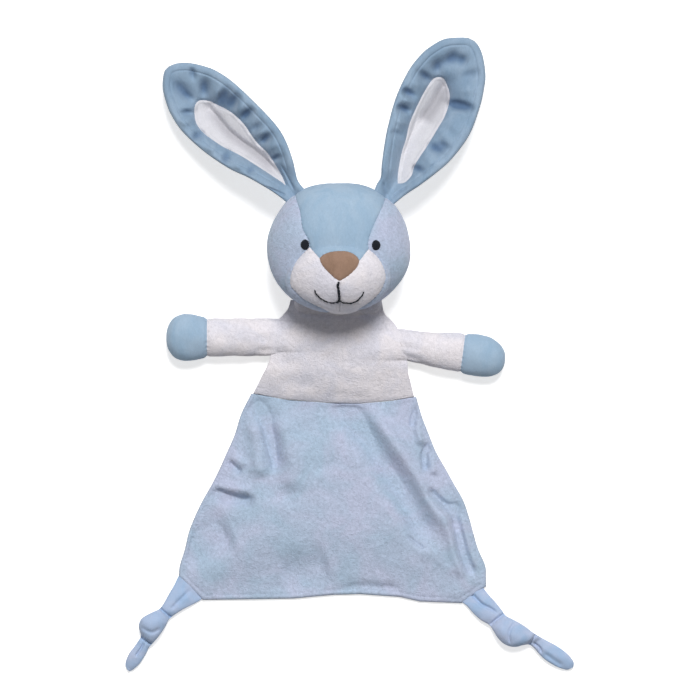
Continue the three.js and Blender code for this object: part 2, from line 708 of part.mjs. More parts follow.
const toy = new THREE.Group();
toy.add(headGroup(), chestGroup(), skirtGroup());
for (const side of ['left', 'right']) {
  toy.add(
    earGroup(side),
    armGroup(side),
    meshOf(`tail_${side}`, tail(side), velourBlue()),
  );
}

export default toy;
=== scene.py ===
# %% [markdown]
# # A bunny comfort blanket
# A stuffed head with long ears, a padded chest with two arms, and a flat skirt of two layers of
# plush whose corners end in knotted tails. It lies on its back and is seen from straight above.
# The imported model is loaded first. It holds every seam line that something folds about, and each
# soft piece made below takes the place of one of its plain solids.

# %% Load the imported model
import json
import math

import bpy
import numpy as np
from mathutils import Euler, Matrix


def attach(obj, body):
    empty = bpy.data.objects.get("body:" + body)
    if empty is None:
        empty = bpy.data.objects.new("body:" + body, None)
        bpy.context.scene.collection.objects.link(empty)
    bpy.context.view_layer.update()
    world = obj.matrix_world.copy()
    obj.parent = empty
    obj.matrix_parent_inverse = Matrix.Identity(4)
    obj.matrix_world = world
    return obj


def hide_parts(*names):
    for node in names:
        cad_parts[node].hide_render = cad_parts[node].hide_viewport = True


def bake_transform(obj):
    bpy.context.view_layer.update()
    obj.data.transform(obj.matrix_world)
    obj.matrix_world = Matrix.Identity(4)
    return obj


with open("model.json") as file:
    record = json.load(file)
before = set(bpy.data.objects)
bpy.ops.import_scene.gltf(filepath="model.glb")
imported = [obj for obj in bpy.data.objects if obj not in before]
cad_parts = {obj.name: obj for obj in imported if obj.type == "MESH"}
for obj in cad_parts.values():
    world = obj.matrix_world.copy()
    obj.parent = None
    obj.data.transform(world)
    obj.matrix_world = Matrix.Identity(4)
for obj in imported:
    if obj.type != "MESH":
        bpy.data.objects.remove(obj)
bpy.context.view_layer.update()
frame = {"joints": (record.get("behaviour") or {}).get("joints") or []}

joints = {joint["name"]: joint for joint in frame["joints"]}

# %% [markdown]
# ## Measures
# All lengths here are in millimetres, and Blender's own unit is the metre. One pixel of the
# photograph covers 0.55 mm of the toy, and the frame's origin lies under the pixel named below,
# so creases that were read off the photograph keep their pixel places.

# %% Lengths, and places read off the photograph
MM = 0.001
PHOTO_SIDE = 700
PIXEL = 0.55
PHOTO_ZERO = (338, 360)


def from_photo(pixels):
    """Places on the toy, in millimetres, for places in the photograph."""
    x, y = np.array(pixels, float).T
    return np.stack([(x - PHOTO_ZERO[0]) * PIXEL, (PHOTO_ZERO[1] - y) * PIXEL], 1)


print("the photograph is", PHOTO_SIDE * PIXEL, "mm wide")

# %% [markdown]
# ## Camera
# The toy was photographed from straight above. A wide lens close by would make the high head look
# bigger than the flat skirt. A long lens from ten metres keeps both at their true proportions.

# %% Camera straight above
CAMERA_HEIGHT = 10000
SENSOR = 36
SEES_METRES = 100
camera_x, camera_y = from_photo([(PHOTO_SIDE / 2, PHOTO_SIDE / 2)])[0]
bpy.ops.object.camera_add(location=(camera_x * MM, camera_y * MM, CAMERA_HEIGHT * MM))
camera = bpy.context.active_object
camera.data.sensor_width = SENSOR
camera.data.lens = SENSOR * CAMERA_HEIGHT / (PHOTO_SIDE * PIXEL)
camera.data.clip_end = SEES_METRES
bpy.context.scene.camera = camera
bpy.context.scene.view_settings.view_transform = "Standard"
print("lens", round(camera.data.lens), "mm")

# %% [markdown]
# ## Light
# One big soft lamp stands past the ears, a little to the right, so the head throws a soft shadow
# on the chest, and what faces the hem is darker, as in the photograph. The world fills the shadows
# evenly. What the camera sees of the world is plain white, which adds no light to the toy. The
# world, the floor and the fabrics are mixed from nodes, and one helper sets a node's inputs.

# %% Lamp and world
LAMP_SIZE = 2080
LAMP_PLACE = (400, 3040, 6000)
LAMP_WATTS = 436
FILL = 0.2
WHITE = (1, 1, 1, 1)


def aim(place):
    """The turn that points a lamp at the middle of the toy."""
    x, y, z = place
    return Euler((math.atan2(math.hypot(x, y), z), 0, math.atan2(x, -y)))


def with_inputs(node, values):
    """Sets inputs of a node, each by its name or number, and gives the node back."""
    for key, value in values.items():
        node.inputs[key].default_value = value
    return node


bpy.ops.object.light_add(type="AREA", location=[v * MM for v in LAMP_PLACE],
                         rotation=aim(LAMP_PLACE))
lamp = bpy.context.active_object
lamp.data.shape = "DISK"
lamp.data.size = LAMP_SIZE * MM
lamp.data.energy = LAMP_WATTS

world = bpy.data.worlds.new("studio")
bpy.context.scene.world = world
world.use_nodes = True
sky = world.node_tree.nodes
sky_links = world.node_tree.links
fill = with_inputs(sky["Background"], {"Color": WHITE, "Strength": FILL})
seen = with_inputs(sky.new("ShaderNodeBackground"), {"Color": WHITE})
rays = sky.new("ShaderNodeLightPath")
shown = rays.outputs["Is Camera Ray"]
for ray in ("Is Glossy Ray", "Is Transmission Ray"):
    either = sky.new("ShaderNodeMath")
    either.operation = "MAXIMUM"
    sky_links.new(shown, either.inputs[0])
    sky_links.new(rays.outputs[ray], either.inputs[1])
    shown = either.outputs[0]
choose = sky.new("ShaderNodeMixShader")
sky_links.new(shown, choose.inputs["Fac"])
sky_links.new(fill.outputs[0], choose.inputs[1])
sky_links.new(seen.outputs[0], choose.inputs[2])
sky_links.new(choose.outputs[0], sky["World Output"].inputs["Surface"])
print("lamp at", LAMP_PLACE)

# %% [markdown]
# ## Floor
# A pale sheet under the toy catches its shadow. The camera sees the lit sheet a little brighter
# than it is, so that it turns into the white of the photograph, and the shadow stays faint.

# %% Floor
FLOOR_SIDE = 8000
FLOOR_BELOW = 0.3
FLOOR_GLOW = 0.62
FLOOR_GREY = (0.8, 0.8, 0.8, 1)
bpy.ops.mesh.primitive_plane_add(size=FLOOR_SIDE * MM, location=(0, 0, -FLOOR_BELOW * MM))
floor = bpy.context.active_object
floor.name = "floor"
paper = bpy.data.materials.new("paper floor")
paper.use_nodes = True
paper_nodes = paper.node_tree.nodes
matt = with_inputs(paper_nodes["Principled BSDF"], {
    "Base Color": FLOOR_GREY, "Roughness": 1, "Specular IOR Level": 0, "Emission Color": WHITE})
floor_rays = paper_nodes.new("ShaderNodeLightPath")
glow = with_inputs(paper_nodes.new("ShaderNodeMath"), {1: FLOOR_GLOW})
glow.operation = "MULTIPLY"
paper.node_tree.links.new(floor_rays.outputs["Is Camera Ray"], glow.inputs[0])
paper.node_tree.links.new(glow.outputs[0], matt.inputs["Emission Strength"])
floor.data.materials.append(paper)
print("floor", FLOOR_SIDE, "mm wide")

# %% [markdown]
# ## Fabric
# Plush is a knit with a short brushed pile. From a step away it shows three things: soft patches
# where the pile leans another way, small clumps of pile, and a fine grain. All three can be noise.
# A picture could hold them, but noise in the object's own space needs no unwrapping and never
# repeats. The helpers below mix values and colours in a fabric's tree of nodes.

# %% Mixing helpers
def combined(tree, first, second, share):
    """A mix of two values, with this share of the second."""
    mix = with_inputs(tree.nodes.new("ShaderNodeMix"), {"Factor": share})
    tree.links.new(first, mix.inputs["A"])
    tree.links.new(second, mix.inputs["B"])
    return mix.outputs["Result"]


def coloured(tree, value, low, high, first, last):
    """The first colour up to the low value, the last one from the high value."""
    ramp = tree.nodes.new("ShaderNodeValToRGB")
    ends = ramp.color_ramp.elements
    for end, position, colour in zip(ends, (low, high), (first, last)):
        end.position = position
        end.color = (*colour, 1)
    tree.links.new(value, ramp.inputs["Fac"])
    return ramp.outputs["Color"]


def darkened(tree, base, shade):
    """A colour multiplied by another."""
    tone = with_inputs(tree.nodes.new("ShaderNodeMix"), {"Factor": 1})
    tone.data_type = "RGBA"
    tone.blend_type = "MULTIPLY"
    first, second = [socket for socket in tone.inputs if socket.type == "RGBA"]
    tree.links.new(base, first)
    tree.links.new(shade, second)
    return [socket for socket in tone.outputs if socket.type == "RGBA"][0]


print("mixing helpers ready")

# %% [markdown]
# The patches drift to a second colour, because leaning pile shows more of its shaft. The clumps
# are darker between than on top. Pile also catches light at grazing angles, which is sheen. A
# fabric can also take painted shade: its colour is darkened where a value at each vertex says
# that it lies deep in a dent or a crease. All the fabrics share one recipe with their own colours and
# sizes.

# %% A fabric from its colours and its pile
PAINTED_SHADE_NAME = "painted_shade"
SHEEN_TINT = (0.93, 0.96, 1, 1)


def fabric(name, colour, tint, patch=11, clump=1.7, grain=0.5, contrast=0.3, depth=0.9, sheen=0.3,
           stretch=(1, 1, 1), painted_shade=None):
    """A brushed fabric that drifts from a colour to a tint. Its sizes are millimetres."""
    material = bpy.data.materials.new(name)
    material.use_nodes = True
    tree = material.node_tree
    place = tree.nodes.new("ShaderNodeTexCoord")
    lay = with_inputs(tree.nodes.new("ShaderNodeMapping"), {"Scale": stretch})
    tree.links.new(place.outputs["Object"], lay.inputs["Vector"])

    def speckle(size, detail, distortion=0.0):
        """Noise whose blobs have about this size."""
        noise = with_inputs(tree.nodes.new("ShaderNodeTexNoise"), {
            "Scale": 1 / (size * MM), "Detail": detail, "Distortion": distortion})
        tree.links.new(lay.outputs["Vector"], noise.inputs["Vector"])
        return noise.outputs["Fac"]

    pile = combined(tree, speckle(clump, detail=3, distortion=0.8), speckle(grain, detail=2),
                    share=0.4)
    drift = coloured(tree, speckle(patch, detail=2, distortion=0.6), low=0.36, high=0.64,
                     first=colour, last=tint)
    shade = coloured(tree, pile, low=0.34, high=0.66, first=[1 - contrast] * 3, last=[1] * 3)
    product = darkened(tree, drift, shade)
    # Painted shade: the colour darkens towards the painted_shade colour where the vertex value is
    # high.
    if painted_shade:
        closed = tree.nodes.new("ShaderNodeAttribute")
        closed.attribute_name = PAINTED_SHADE_NAME
        darker = coloured(tree, closed.outputs["Fac"], low=0, high=1, first=[1] * 3, last=painted_shade)
        product = darkened(tree, product, darker)
    rough = with_inputs(tree.nodes.new("ShaderNodeMapRange"), {"To Min": 0.82, "To Max": 0.98})
    bump = with_inputs(tree.nodes.new("ShaderNodeBump"), {"Distance": depth * MM, "Strength": 0.8})
    surface = with_inputs(tree.nodes["Principled BSDF"], {
        "Specular IOR Level": 0.2, "Sheen Weight": sheen, "Sheen Roughness": 0.45,
        "Sheen Tint": SHEEN_TINT})
    for output, target in ((product, surface.inputs["Base Color"]), (pile, rough.inputs["Value"]),
                           (rough.outputs["Result"], surface.inputs["Roughness"]),
                           (pile, bump.inputs["Height"]),
                           (bump.outputs["Normal"], surface.inputs["Normal"])):
        tree.links.new(output, target)
    return material


# That value drives the painted shade in the dents.
print("a gather's depth is read from the value called", PAINTED_SHADE_NAME)

# %% [markdown]
# The forehead, the ears and the paws are a smooth velour whose nap runs one way, so its clumps
# are drawn out. The ears' copy of it is darker, which is painted shade, and the dents of the ears
# and of their linings darken further with painted shade. The head's sides and the skirt are a
# curlier plush with more contrast. The muzzle, the chest and the sleeves are the same plush in
# white, and the tails are a smooth knit.

# %% The toy's fabrics
velour_blue = fabric("mid-blue velour", (0.31, 0.44, 0.58), (0.36, 0.48, 0.61), patch=9, clump=1.1,
                     contrast=0.1, depth=0.28, sheen=0.22, stretch=(1, 0.45, 1))
# A darker copy of the mid-blue velour for the ears, which is painted shade, with painted shade in its
# dents too.
velour_blue_shaded = fabric("mid-blue velour with painted shade", (0.24, 0.345, 0.47), (0.3, 0.405, 0.53),
                    patch=9, clump=1.1, contrast=0.12, depth=0.28, sheen=0.2, stretch=(1, 0.45, 1),
                    painted_shade=(0.4, 0.48, 0.6))
plush_blue = fabric("pale-blue plush", (0.45, 0.57, 0.72), (0.54, 0.59, 0.76), patch=24,
                    contrast=0.28)
plush_white = fabric("white plush", (0.77, 0.755, 0.83), (0.87, 0.825, 0.86), patch=15,
                     contrast=0.2, depth=1)
# The lining's dents also darken with painted shade.
velour_white = fabric("white velour", (0.66, 0.655, 0.69), (0.7, 0.69, 0.73), patch=8, clump=1,
                      contrast=0.1, depth=0.35, sheen=0.2, stretch=(1, 0.5, 1),
                      painted_shade=(0.48, 0.48, 0.5))
velour_taupe = fabric("taupe velour", (0.285, 0.18, 0.125), (0.33, 0.21, 0.15), patch=6, clump=0.9,
                      contrast=0.16, depth=0.22, sheen=0.2, stretch=(1, 0.5, 1))
knit_blue = fabric("smooth blue knit", (0.35, 0.48, 0.68), (0.45, 0.52, 0.69), patch=12, clump=0.8,
                   contrast=0.08, depth=0.15, sheen=0.25)
thread_black = fabric("black thread", (0.006, 0.009, 0.014), (0.01, 0.013, 0.02), patch=3,
                      clump=0.5, grain=0.12, contrast=0.3, depth=0.08, sheen=0.1)
print("fabrics:", [m.name for m in bpy.data.materials if m.node_tree])

# %% [markdown]
# ## Shaping tools
# A soft piece starts as a primitive that has faces enough, and then every vertex is moved to
# where the cloth lies, as a sculptor would push clay. The helpers below read and write all the
# vertices of a piece at once, in millimetres, and apply modifiers to it.

# %% Picking pieces and moving their points
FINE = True


def pick(*pieces):
    """Selects these pieces and nothing else."""
    bpy.ops.object.select_all(action="DESELECT")
    for piece in pieces:
        piece.select_set(True)
    bpy.context.view_layer.objects.active = pieces[0]
    return pieces[0]


def named(name):
    """The piece that was just added, under its own name."""
    piece = bpy.context.active_object
    piece.name = name
    piece.data.name = name
    return piece


def points_of(piece):
    """The places of all its vertices."""
    flat = np.empty(3 * len(piece.data.vertices), np.float32)
    piece.data.vertices.foreach_get("co", flat)
    return flat.reshape(-1, 3).astype(float) / MM


def move_points(piece, points):
    """Puts its vertices at these places."""
    piece.data.vertices.foreach_set("co", (points * MM).astype(np.float32).ravel())
    piece.data.update()


def modify(piece, kind, **settings):
    """Adds a modifier and applies it."""
    pick(piece)
    modifier = piece.modifiers.new(kind, kind)
    for name, value in settings.items():
        setattr(modifier, name, value)
    bpy.ops.object.modifier_apply(modifier=modifier.name)


print("shaping tools ready, fine meshes:", FINE)

# %% [markdown]
# Some steps need Blender's edit mode, where an operator works on all the faces that are selected.
# A cut by a plane and a tube with rings are made there. An arm and a tail start as such a tube,
# because its rings can follow a line, as a sewn tube does.

# %% Copies, cuts and tubes
CUT_GAP = 0.001


def scaled(grid):
    return [count if FINE else count // 2 for count in grid]


def twin(piece, name):
    """A copy with a mesh of its own."""
    copy = piece.copy()
    copy.data = piece.data.copy()
    copy.name = name
    copy.data.name = name
    bpy.context.scene.collection.objects.link(copy)
    return copy


def open_mesh(piece):
    """Starts to edit a piece, with all of it selected."""
    pick(piece)
    bpy.ops.object.mode_set(mode="EDIT")
    bpy.ops.mesh.select_all(action="SELECT")


def close_mesh():
    """Ends the editing."""
    bpy.ops.object.mode_set(mode="OBJECT")


def face_outwards(piece):
    """Turns all its faces to point out, and shades it smooth."""
    open_mesh(piece)
    bpy.ops.mesh.normals_make_consistent(inside=False)
    close_mesh()
    bpy.ops.object.shade_smooth()


def halve(piece, place, way, fill=False):
    """Cuts a piece by a plane and keeps the side that the way points from."""
    open_mesh(piece)
    bpy.ops.mesh.bisect(plane_co=[v * MM for v in place], plane_no=way, clear_outer=True,
                        use_fill=fill, threshold=CUT_GAP * MM)
    close_mesh()
    return piece


def lofted(name, grid):
    """A closed tube of radius one along Z, from 0 to 1, with rings of vertices for shaping.

    It is cut into rings at the size of a metre, and becomes a thousand times smaller at the end.
    """
    sides, rings = scaled(grid)
    bpy.ops.mesh.primitive_cylinder_add(vertices=sides, radius=1, depth=1, location=(0, 0, 0.5))
    tube = named(name)
    pick(tube)
    bpy.ops.object.transform_apply(location=True)
    open_mesh(tube)
    for ring in range(1, rings):
        bpy.ops.mesh.select_all(action="SELECT")
        bpy.ops.mesh.bisect(plane_co=(0, 0, ring / rings), plane_no=(0, 0, 1))
    close_mesh()
    move_points(tube, points_of(tube) * MM)
    return tube


print("a grid of 100 by 60 becomes", scaled((100, 60)))

# %% [markdown]
# Cloth is never quite even. A sum of waves that run in random directions gives a smooth field of
# bumps of about one size, the same on every run, and costs next to nothing.

# %% Smooth steps and unevenness
WAVE_SHARES = (1.4, 3.2)
KEEPS_FROM_ZERO = 0.01


def smoothstep(value, low, high):
    """Nothing up to the low value and one from the high value, with a smooth rise between."""
    share = np.clip((value - low) / (high - low), 0, 1)
    return share * share * (3 - 2 * share)


def hump(value, width):
    """One at zero, and nearly nothing two widths away."""
    return np.exp(-((value / width) ** 2))


def unit(ways):
    """The same ways, each of length one."""
    return ways / np.linalg.norm(ways, axis=1)[:, None]


def unevenness(points, size, seed, waves=30):
    """A smooth field of bumps about this size, mostly between minus one and one."""
    chance = np.random.default_rng(seed)
    ways = unit(chance.normal(size=(waves, 3)))
    ways *= 2 * math.pi / (size * chance.uniform(*WAVE_SHARES, waves))[:, None]
    start = chance.uniform(0, 2 * math.pi, waves)
    return np.sin(points @ ways.T + start).sum(1) / math.sqrt(2 * waves)


def bumps(points, rows):
    """A sum of such fields. Each row holds a height, a size and a seed."""
    return sum(height * unevenness(points, size, seed) for height, size, seed in rows)


print("half way up a smooth step:", smoothstep(0.5, 0, 1))

# %% [markdown]
# A seam or a crease follows a route: a few places, joined by a smooth curve. The helpers below
# tell how far each vertex lies from such a route. A crease is then a dent that fades with that
# distance, and it moves when a place of its route does.

# %% Routes, outlines and creases
CREASE_START_SHARES = (-0.1, 0.2)
CREASE_END_SHARES = (0.8, 1.02)
NOTHING = 1e-9


def smooth_route(points, steps=6):
    """A smooth curve through some points, as many short straight lines."""
    points = np.array(points, float)
    padded = np.vstack([2 * points[0] - points[1], points, 2 * points[-1] - points[-2]])
    share = np.linspace(0, 1, steps, endpoint=False)[:, None]
    runs = []
    for a, b, c, d in zip(padded, padded[1:], padded[2:], padded[3:]):
        runs.append(0.5 * (2 * b + (c - a) * share + (2 * a - 5 * b + 4 * c - d) * share ** 2
                           + (3 * b - a - 3 * c + d) * share ** 3))
    return np.vstack([*runs, points[-1:]])


def run_along(line):
    """How far along a line each of its points lies."""
    return np.concatenate([[0], np.cumsum(np.linalg.norm(np.diff(line, axis=0), axis=1))])


def places_at(line, run, at):
    """The places this far along a line, of which each point's own run is known."""
    return np.column_stack([np.interp(at, run, column) for column in line.T])


def from_table(table, place, column):
    """A value between the rows of a table, on a smooth curve."""
    curve = smooth_route(table)
    return np.interp(place, curve[:, 0], curve[:, column])


def near_route(points, route):
    """How far each point is from a route, how far along the route that is, and on which side.

    The side is one on the left hand of the route and minus one on its right.
    """
    route = np.array(route, float)
    size = route.shape[1]
    best = np.full(len(points), np.inf)
    place, side = np.zeros(len(points)), np.zeros(len(points))
    run = 0.0
    for start, end in zip(route, route[1:]):
        way = end - start
        length = np.linalg.norm(way)
        if length < NOTHING:
            continue
        offset = points[:, :size] - start
        share = np.clip(offset @ way / length ** 2, 0, 1)
        gap = offset - share[:, None] * way
        distance = np.linalg.norm(gap, axis=1)
        closer = distance < best
        best[closer] = distance[closer]
        place[closer] = (run + share * length)[closer]
        turn = way[0] * offset[:, 1] - way[1] * offset[:, 0]
        side[closer] = np.sign(turn)[closer]
        run += length
    return best, place, side


def inside(points, outline):
    """Whether each point lies inside a closed outline, seen from above."""
    x, y = points[:, 0], points[:, 1]
    found = np.zeros(len(points), bool)
    for (x1, y1), (x2, y2) in zip(outline, np.roll(outline, -1, 0)):
        if y1 == y2:
            continue
        crosses = (y1 > y) != (y2 > y)
        found ^= crosses & (x < (x2 - x1) * (y - y1) / (y2 - y1) + x1)
    return found


def valley(points, route, width, depth, steep=0.0):
    """A crease along a route, which fades out at both ends. A steep one is narrower on its left."""
    curve = smooth_route(route)
    distance, place, side = near_route(points, curve)
    length = np.linalg.norm(np.diff(curve, axis=0), axis=1).sum()
    ends = smoothstep(place, *(share * length for share in CREASE_START_SHARES))
    ends = ends * (1 - smoothstep(place, *(share * length for share in CREASE_END_SHARES)))
    reach = width * (1 - steep * side)
    return -depth * ends * hump(distance, reach)


print("points on a route of three places:", len(smooth_route([(0, 0), (1, 1), (2, 0)])))

# %% [markdown]
# ## Head
# The head is a firmly stuffed ball, a little squarer than an egg, with a snout that rises from
# its lower half. It is sewn from a forehead, two sides, two backs, two muzzle halves and a nose.
# One ball is shaped first and then cut into these panels along the seams, so that neighbours
# meet exactly. Modelling each panel by itself would leave cracks.

# %% The head's form
HEAD_WIDTH = 78
HEAD_HEIGHT = 71
HEAD_DEPTH = 60
HEAD_MIDDLE = np.array([0, 62, 29.5])
PLAN_POWER = 2.2
DEPTH_POWER = 2.2
SNOUT_WIDTH = 57
SNOUT_HEIGHT = 36
SNOUT_RISE = 9
SNOUT_DROP = 18
SNOUT_POWER = 0.7
SNOUT_START_SHARES = (0, 0.35)
CHIN_HEIGHT = 30.8
CHEEK_FULLER = 1.4
CHEEK_SHARES = (0.2, 0.95)
CHEEK_PLACE_SHARE = -0.18
CHEEK_WIDTH_SHARE = 0.38
TEMPLE_SLIMMER = 0.9
TEMPLE_SHARES = (0.2, 0.9)
TEMPLE_PLACE_SHARE = 0.48
TEMPLE_WIDTH_SHARE = 0.3
FACE_HALVINGS = 30


def head_reach(way):
    """How far the skin lies from the head's middle, each way."""
    plan = np.abs(way[:, 0] / (HEAD_WIDTH / 2)) ** PLAN_POWER
    plan = plan + np.abs(way[:, 1] / (HEAD_HEIGHT / 2)) ** PLAN_POWER
    deep = np.abs(way[:, 2] / (HEAD_DEPTH / 2)) ** DEPTH_POWER
    reach = (plan ** (DEPTH_POWER / PLAN_POWER) + deep) ** (-1 / DEPTH_POWER)
    cheek = hump(way[:, 1] - CHEEK_PLACE_SHARE, CHEEK_WIDTH_SHARE)
    reach = reach + CHEEK_FULLER * smoothstep(way[:, 0], *CHEEK_SHARES) * cheek
    temple = hump(way[:, 1] - TEMPLE_PLACE_SHARE, TEMPLE_WIDTH_SHARE)
    reach = reach - TEMPLE_SLIMMER * smoothstep(-way[:, 0], *TEMPLE_SHARES) * temple
    across = way[:, 0] * reach / (SNOUT_WIDTH / 2)
    down = (way[:, 1] * reach + SNOUT_DROP) / (SNOUT_HEIGHT / 2)
    snout = np.clip(1 - across ** 2 - down ** 2, 0, None) ** SNOUT_POWER
    return reach + SNOUT_RISE * smoothstep(way[:, 2], *SNOUT_START_SHARES) * snout


def onto_head(points):
    """Moves points straight out or in until they lie on the skin."""
    way = unit(points - HEAD_MIDDLE)
    return HEAD_MIDDLE + way * head_reach(way)[:, None]


def on_face(plan):
    """Places on the face that lie straight over these places of the frame."""
    flat = np.array(plan, float)[:, :2] - HEAD_MIDDLE[:2]
    low, high = np.zeros(len(flat)), np.full(len(flat), float(HEAD_DEPTH))
    for _ in range(FACE_HALVINGS):
        middle = (low + high) / 2
        offset = np.column_stack([flat, middle])
        length = np.linalg.norm(offset, axis=1)
        outside = length > head_reach(offset / length[:, None])
        high = np.where(outside, middle, high)
        low = np.where(outside, low, middle)
    return np.column_stack([flat, low]) + HEAD_MIDDLE


print("head", HEAD_WIDTH, "x", HEAD_HEIGHT, "x", HEAD_DEPTH, "mm")

# %% [markdown]
# The seams are drawn from the front, at their places in the photograph, each as runs that are
# smooth between corners. Under the chin the muzzle ends at the seam that runs round the head.

# %% The seams of the face
PEAK_LEFT, PEAK_RIGHT = (309.2, 247.8), (369.5, 249.8)
NOSE_LEFT, NOSE_RIGHT, NOSE_TIP = (318.8, 259.4), (360.2, 261.6), (339.8, 281.9)
NOSE_MIDDLE = (338, 270)
BROW_LEFT = [(292.5, 170), (295.3, 198), (298.7, 210), (301.5, 227), (304.8, 234.4),
             (308, 240.5), PEAK_LEFT]
BROW_RIGHT = [PEAK_RIGHT, (369.3, 242.2), (372.6, 231.1), (377.6, 218.9), (383.7, 205.6),
              (385.9, 198.3), (389, 170)]
BRIDGE_LEFT = [PEAK_LEFT, (312, 251.3), (315.9, 255.8), NOSE_LEFT]
BRIDGE_RIGHT = [NOSE_RIGHT, (363.1, 258.3), (366.4, 253.6), PEAK_RIGHT]
NOSE_TOP = [NOSE_LEFT, (323.4, 255.4), (329.8, 252.9), (337.6, 251.8), (345.3, 251.8),
            (351.4, 253.5), (357, 257), NOSE_RIGHT]
NOSE_FLANK_RIGHT = [NOSE_RIGHT, (358, 267.8), (353.1, 273.2), (347.6, 277.6), NOSE_TIP]
NOSE_FLANK_LEFT = [NOSE_TIP, (335.3, 279.6), (329.6, 274.8), (323.8, 269.2), (320.2, 263.8),
                   NOSE_LEFT]
MUZZLE_EDGE = [PEAK_LEFT, (300.9, 255.6), (295.3, 262.2), (292, 268.9), (289.8, 275.6),
               (289.2, 282.2), (290.2, 287.8), (294.2, 292.6), (299.2, 298), (304.6, 302),
               (311.2, 305.3), (319.8, 309), (328.7, 313), (335.3, 315), (343.1, 315.5),
               (350.9, 314.5), (358.7, 311), (367.6, 305.8), (374.2, 300.6), (379.8, 294.8),
               (383.1, 289.4), (385.5, 282.2), (386.4, 277.8), (385, 271.1), (381.8, 263.3),
               (377.4, 256.9), (373.1, 252.8), PEAK_RIGHT]
LIP_SEAM = [NOSE_TIP, (339.5, 296), (339.5, 312)]


def smooth_run(pixels):
    """A run of places in the photograph as a smooth route of the frame."""
    return smooth_route(from_photo(pixels)) if len(pixels) > 2 else from_photo(pixels)


def outline_of(*runs):
    """A closed outline from runs, with a corner where two of them meet."""
    return np.vstack([smooth_run(run)[:-1] for run in runs])


nose_outline = outline_of(NOSE_TOP, NOSE_FLANK_RIGHT, NOSE_FLANK_LEFT)
brow_outline = outline_of(BROW_LEFT, BRIDGE_LEFT, [NOSE_LEFT, NOSE_RIGHT], BRIDGE_RIGHT,
                          BROW_RIGHT, [BROW_RIGHT[-1], BROW_LEFT[0]])
snout_outline = outline_of(MUZZLE_EDGE, BRIDGE_RIGHT[::-1], [NOSE_RIGHT, NOSE_LEFT],
                           BRIDGE_LEFT[::-1])
print("seam points:", len(nose_outline), len(brow_outline), len(snout_outline))
print("nose stands", round(on_face(from_photo([NOSE_MIDDLE]))[0][2], 1), "mm high")

# %% [markdown]
# The ball starts as an icosphere, whose faces are all about the same size, and each vertex moves
# straight out to the head's form. The front half gets a flat back, so that it is solid and can be
# cut by prisms that stand on the outlines.

# %% The stuffed ball and its cutters
BALL_LEVEL = 7 if FINE else 6
INNER = 1
CUTTER_TOP = 120
CUTTER_OVERLAP = 5
STRAIGHT_UP = 0.999
bpy.ops.mesh.primitive_ico_sphere_add(subdivisions=BALL_LEVEL, radius=MM)
ball = named("head_ball")
move_points(ball, onto_head(points_of(ball) + HEAD_MIDDLE))
for slot_name in ("skin", "inner"):
    ball.data.materials.append(bpy.data.materials.new(slot_name))


def mark_inner(piece, normal_z=None):
    """Marks faces as inner ones: all of them, or those that face straight up or down."""
    for face in piece.data.polygons:
        if normal_z is None or face.normal.z * normal_z > STRAIGHT_UP:
            face.material_index = INNER


def cutter(outline, low, high=CUTTER_TOP):
    """A prism that stands on an outline."""
    mesh = bpy.data.meshes.new("cutter")
    corners = [(x * MM, y * MM, low * MM) for x, y in outline]
    mesh.from_pydata(corners, [], [list(range(len(corners)))])
    tool = bpy.data.objects.new("cutter", mesh)
    bpy.context.scene.collection.objects.link(tool)
    for material in ball.data.materials:
        mesh.materials.append(material)
    open_mesh(tool)
    bpy.ops.mesh.extrude_region_move(TRANSFORM_OT_translate={"value": (0, 0, (high - low) * MM)})
    bpy.ops.mesh.select_all(action="SELECT")
    bpy.ops.mesh.normals_make_consistent(inside=False)
    close_mesh()
    mark_inner(tool)
    return tool


def cut(piece, tool, operation):
    """Cuts a piece with a prism."""
    modify(piece, "BOOLEAN", object=tool, operation=operation, solver="MANIFOLD")


def share_out(piece, tool, name):
    """Takes what lies in the prism out of a piece, and returns it as a piece of its own."""
    taken = twin(piece, name)
    cut(taken, tool, "INTERSECT")
    cut(piece, tool, "DIFFERENCE")
    bpy.data.objects.remove(tool)
    return taken


print("ball faces:", len(ball.data.polygons))

# %% [markdown]
# The outlines cut the nose out of the face first, then the forehead and then the muzzle, and what
# is left are the two sides. The back, the face's sides and the muzzle are then halved down the
# middle, because the real toy is sewn from a left and a right one of each.

# %% The head's panels
seam_height = HEAD_MIDDLE[2]
back = twin(ball, "head_back_left")
halve(back, (0, 0, seam_height), (0, 0, 1))
face = halve(ball, (0, 0, seam_height), (0, 0, -1), fill=True)
mark_inner(face, normal_z=-1)

below_seam = seam_height - CUTTER_OVERLAP
nose = share_out(face, cutter(nose_outline, below_seam), "nose_panel")
forehead = share_out(face, cutter(brow_outline, below_seam), "forehead_panel")
muzzle = share_out(face, cutter(snout_outline, CHIN_HEIGHT), "muzzle_left")
face.name = "head_side_left"
halves = {}
for whole, part_name in ((back, "head_back"), (face, "head_side"), (muzzle, "muzzle")):
    middle = from_photo([LIP_SEAM[1]])[0][0] if part_name == "muzzle" else 0
    other = twin(whole, f"{part_name}_right")
    halves[part_name] = (halve(whole, (middle, 0, 0), (1, 0, 0)),
                         halve(other, (middle, 0, 0), (-1, 0, 0)))
head_panels = [forehead, nose]
for pair in halves.values():
    head_panels.extend(pair)
print("panels:", [panel.name for panel in head_panels])

# %% [markdown]
# Now each panel keeps only its skin. The seam allowance inside pulls the skin in along every seam,
# deepest at each stitch, and the stuffing makes the panel swell between them. Then the skin gets
# the thickness of its cloth.

# %% Seams pulled in, and the cloth's thickness
CLOTH = 1.4
STITCH = 2.4
STITCH_BITE = 0.3
SEAM_DEPTH = 0.5
SEAM_WIDTH = 0.8
PUFF_DEPTH = 0.5
PUFF_WIDTH = 3.5
ROUND_SEAM_SHARE = 0.45
HEAD_EDGE_SHARE = 1.17
HEAD_BUMPS = [(0.45, 14, 3), (0.06, 1.6, 4)]
MERGE_GAP = 0.01


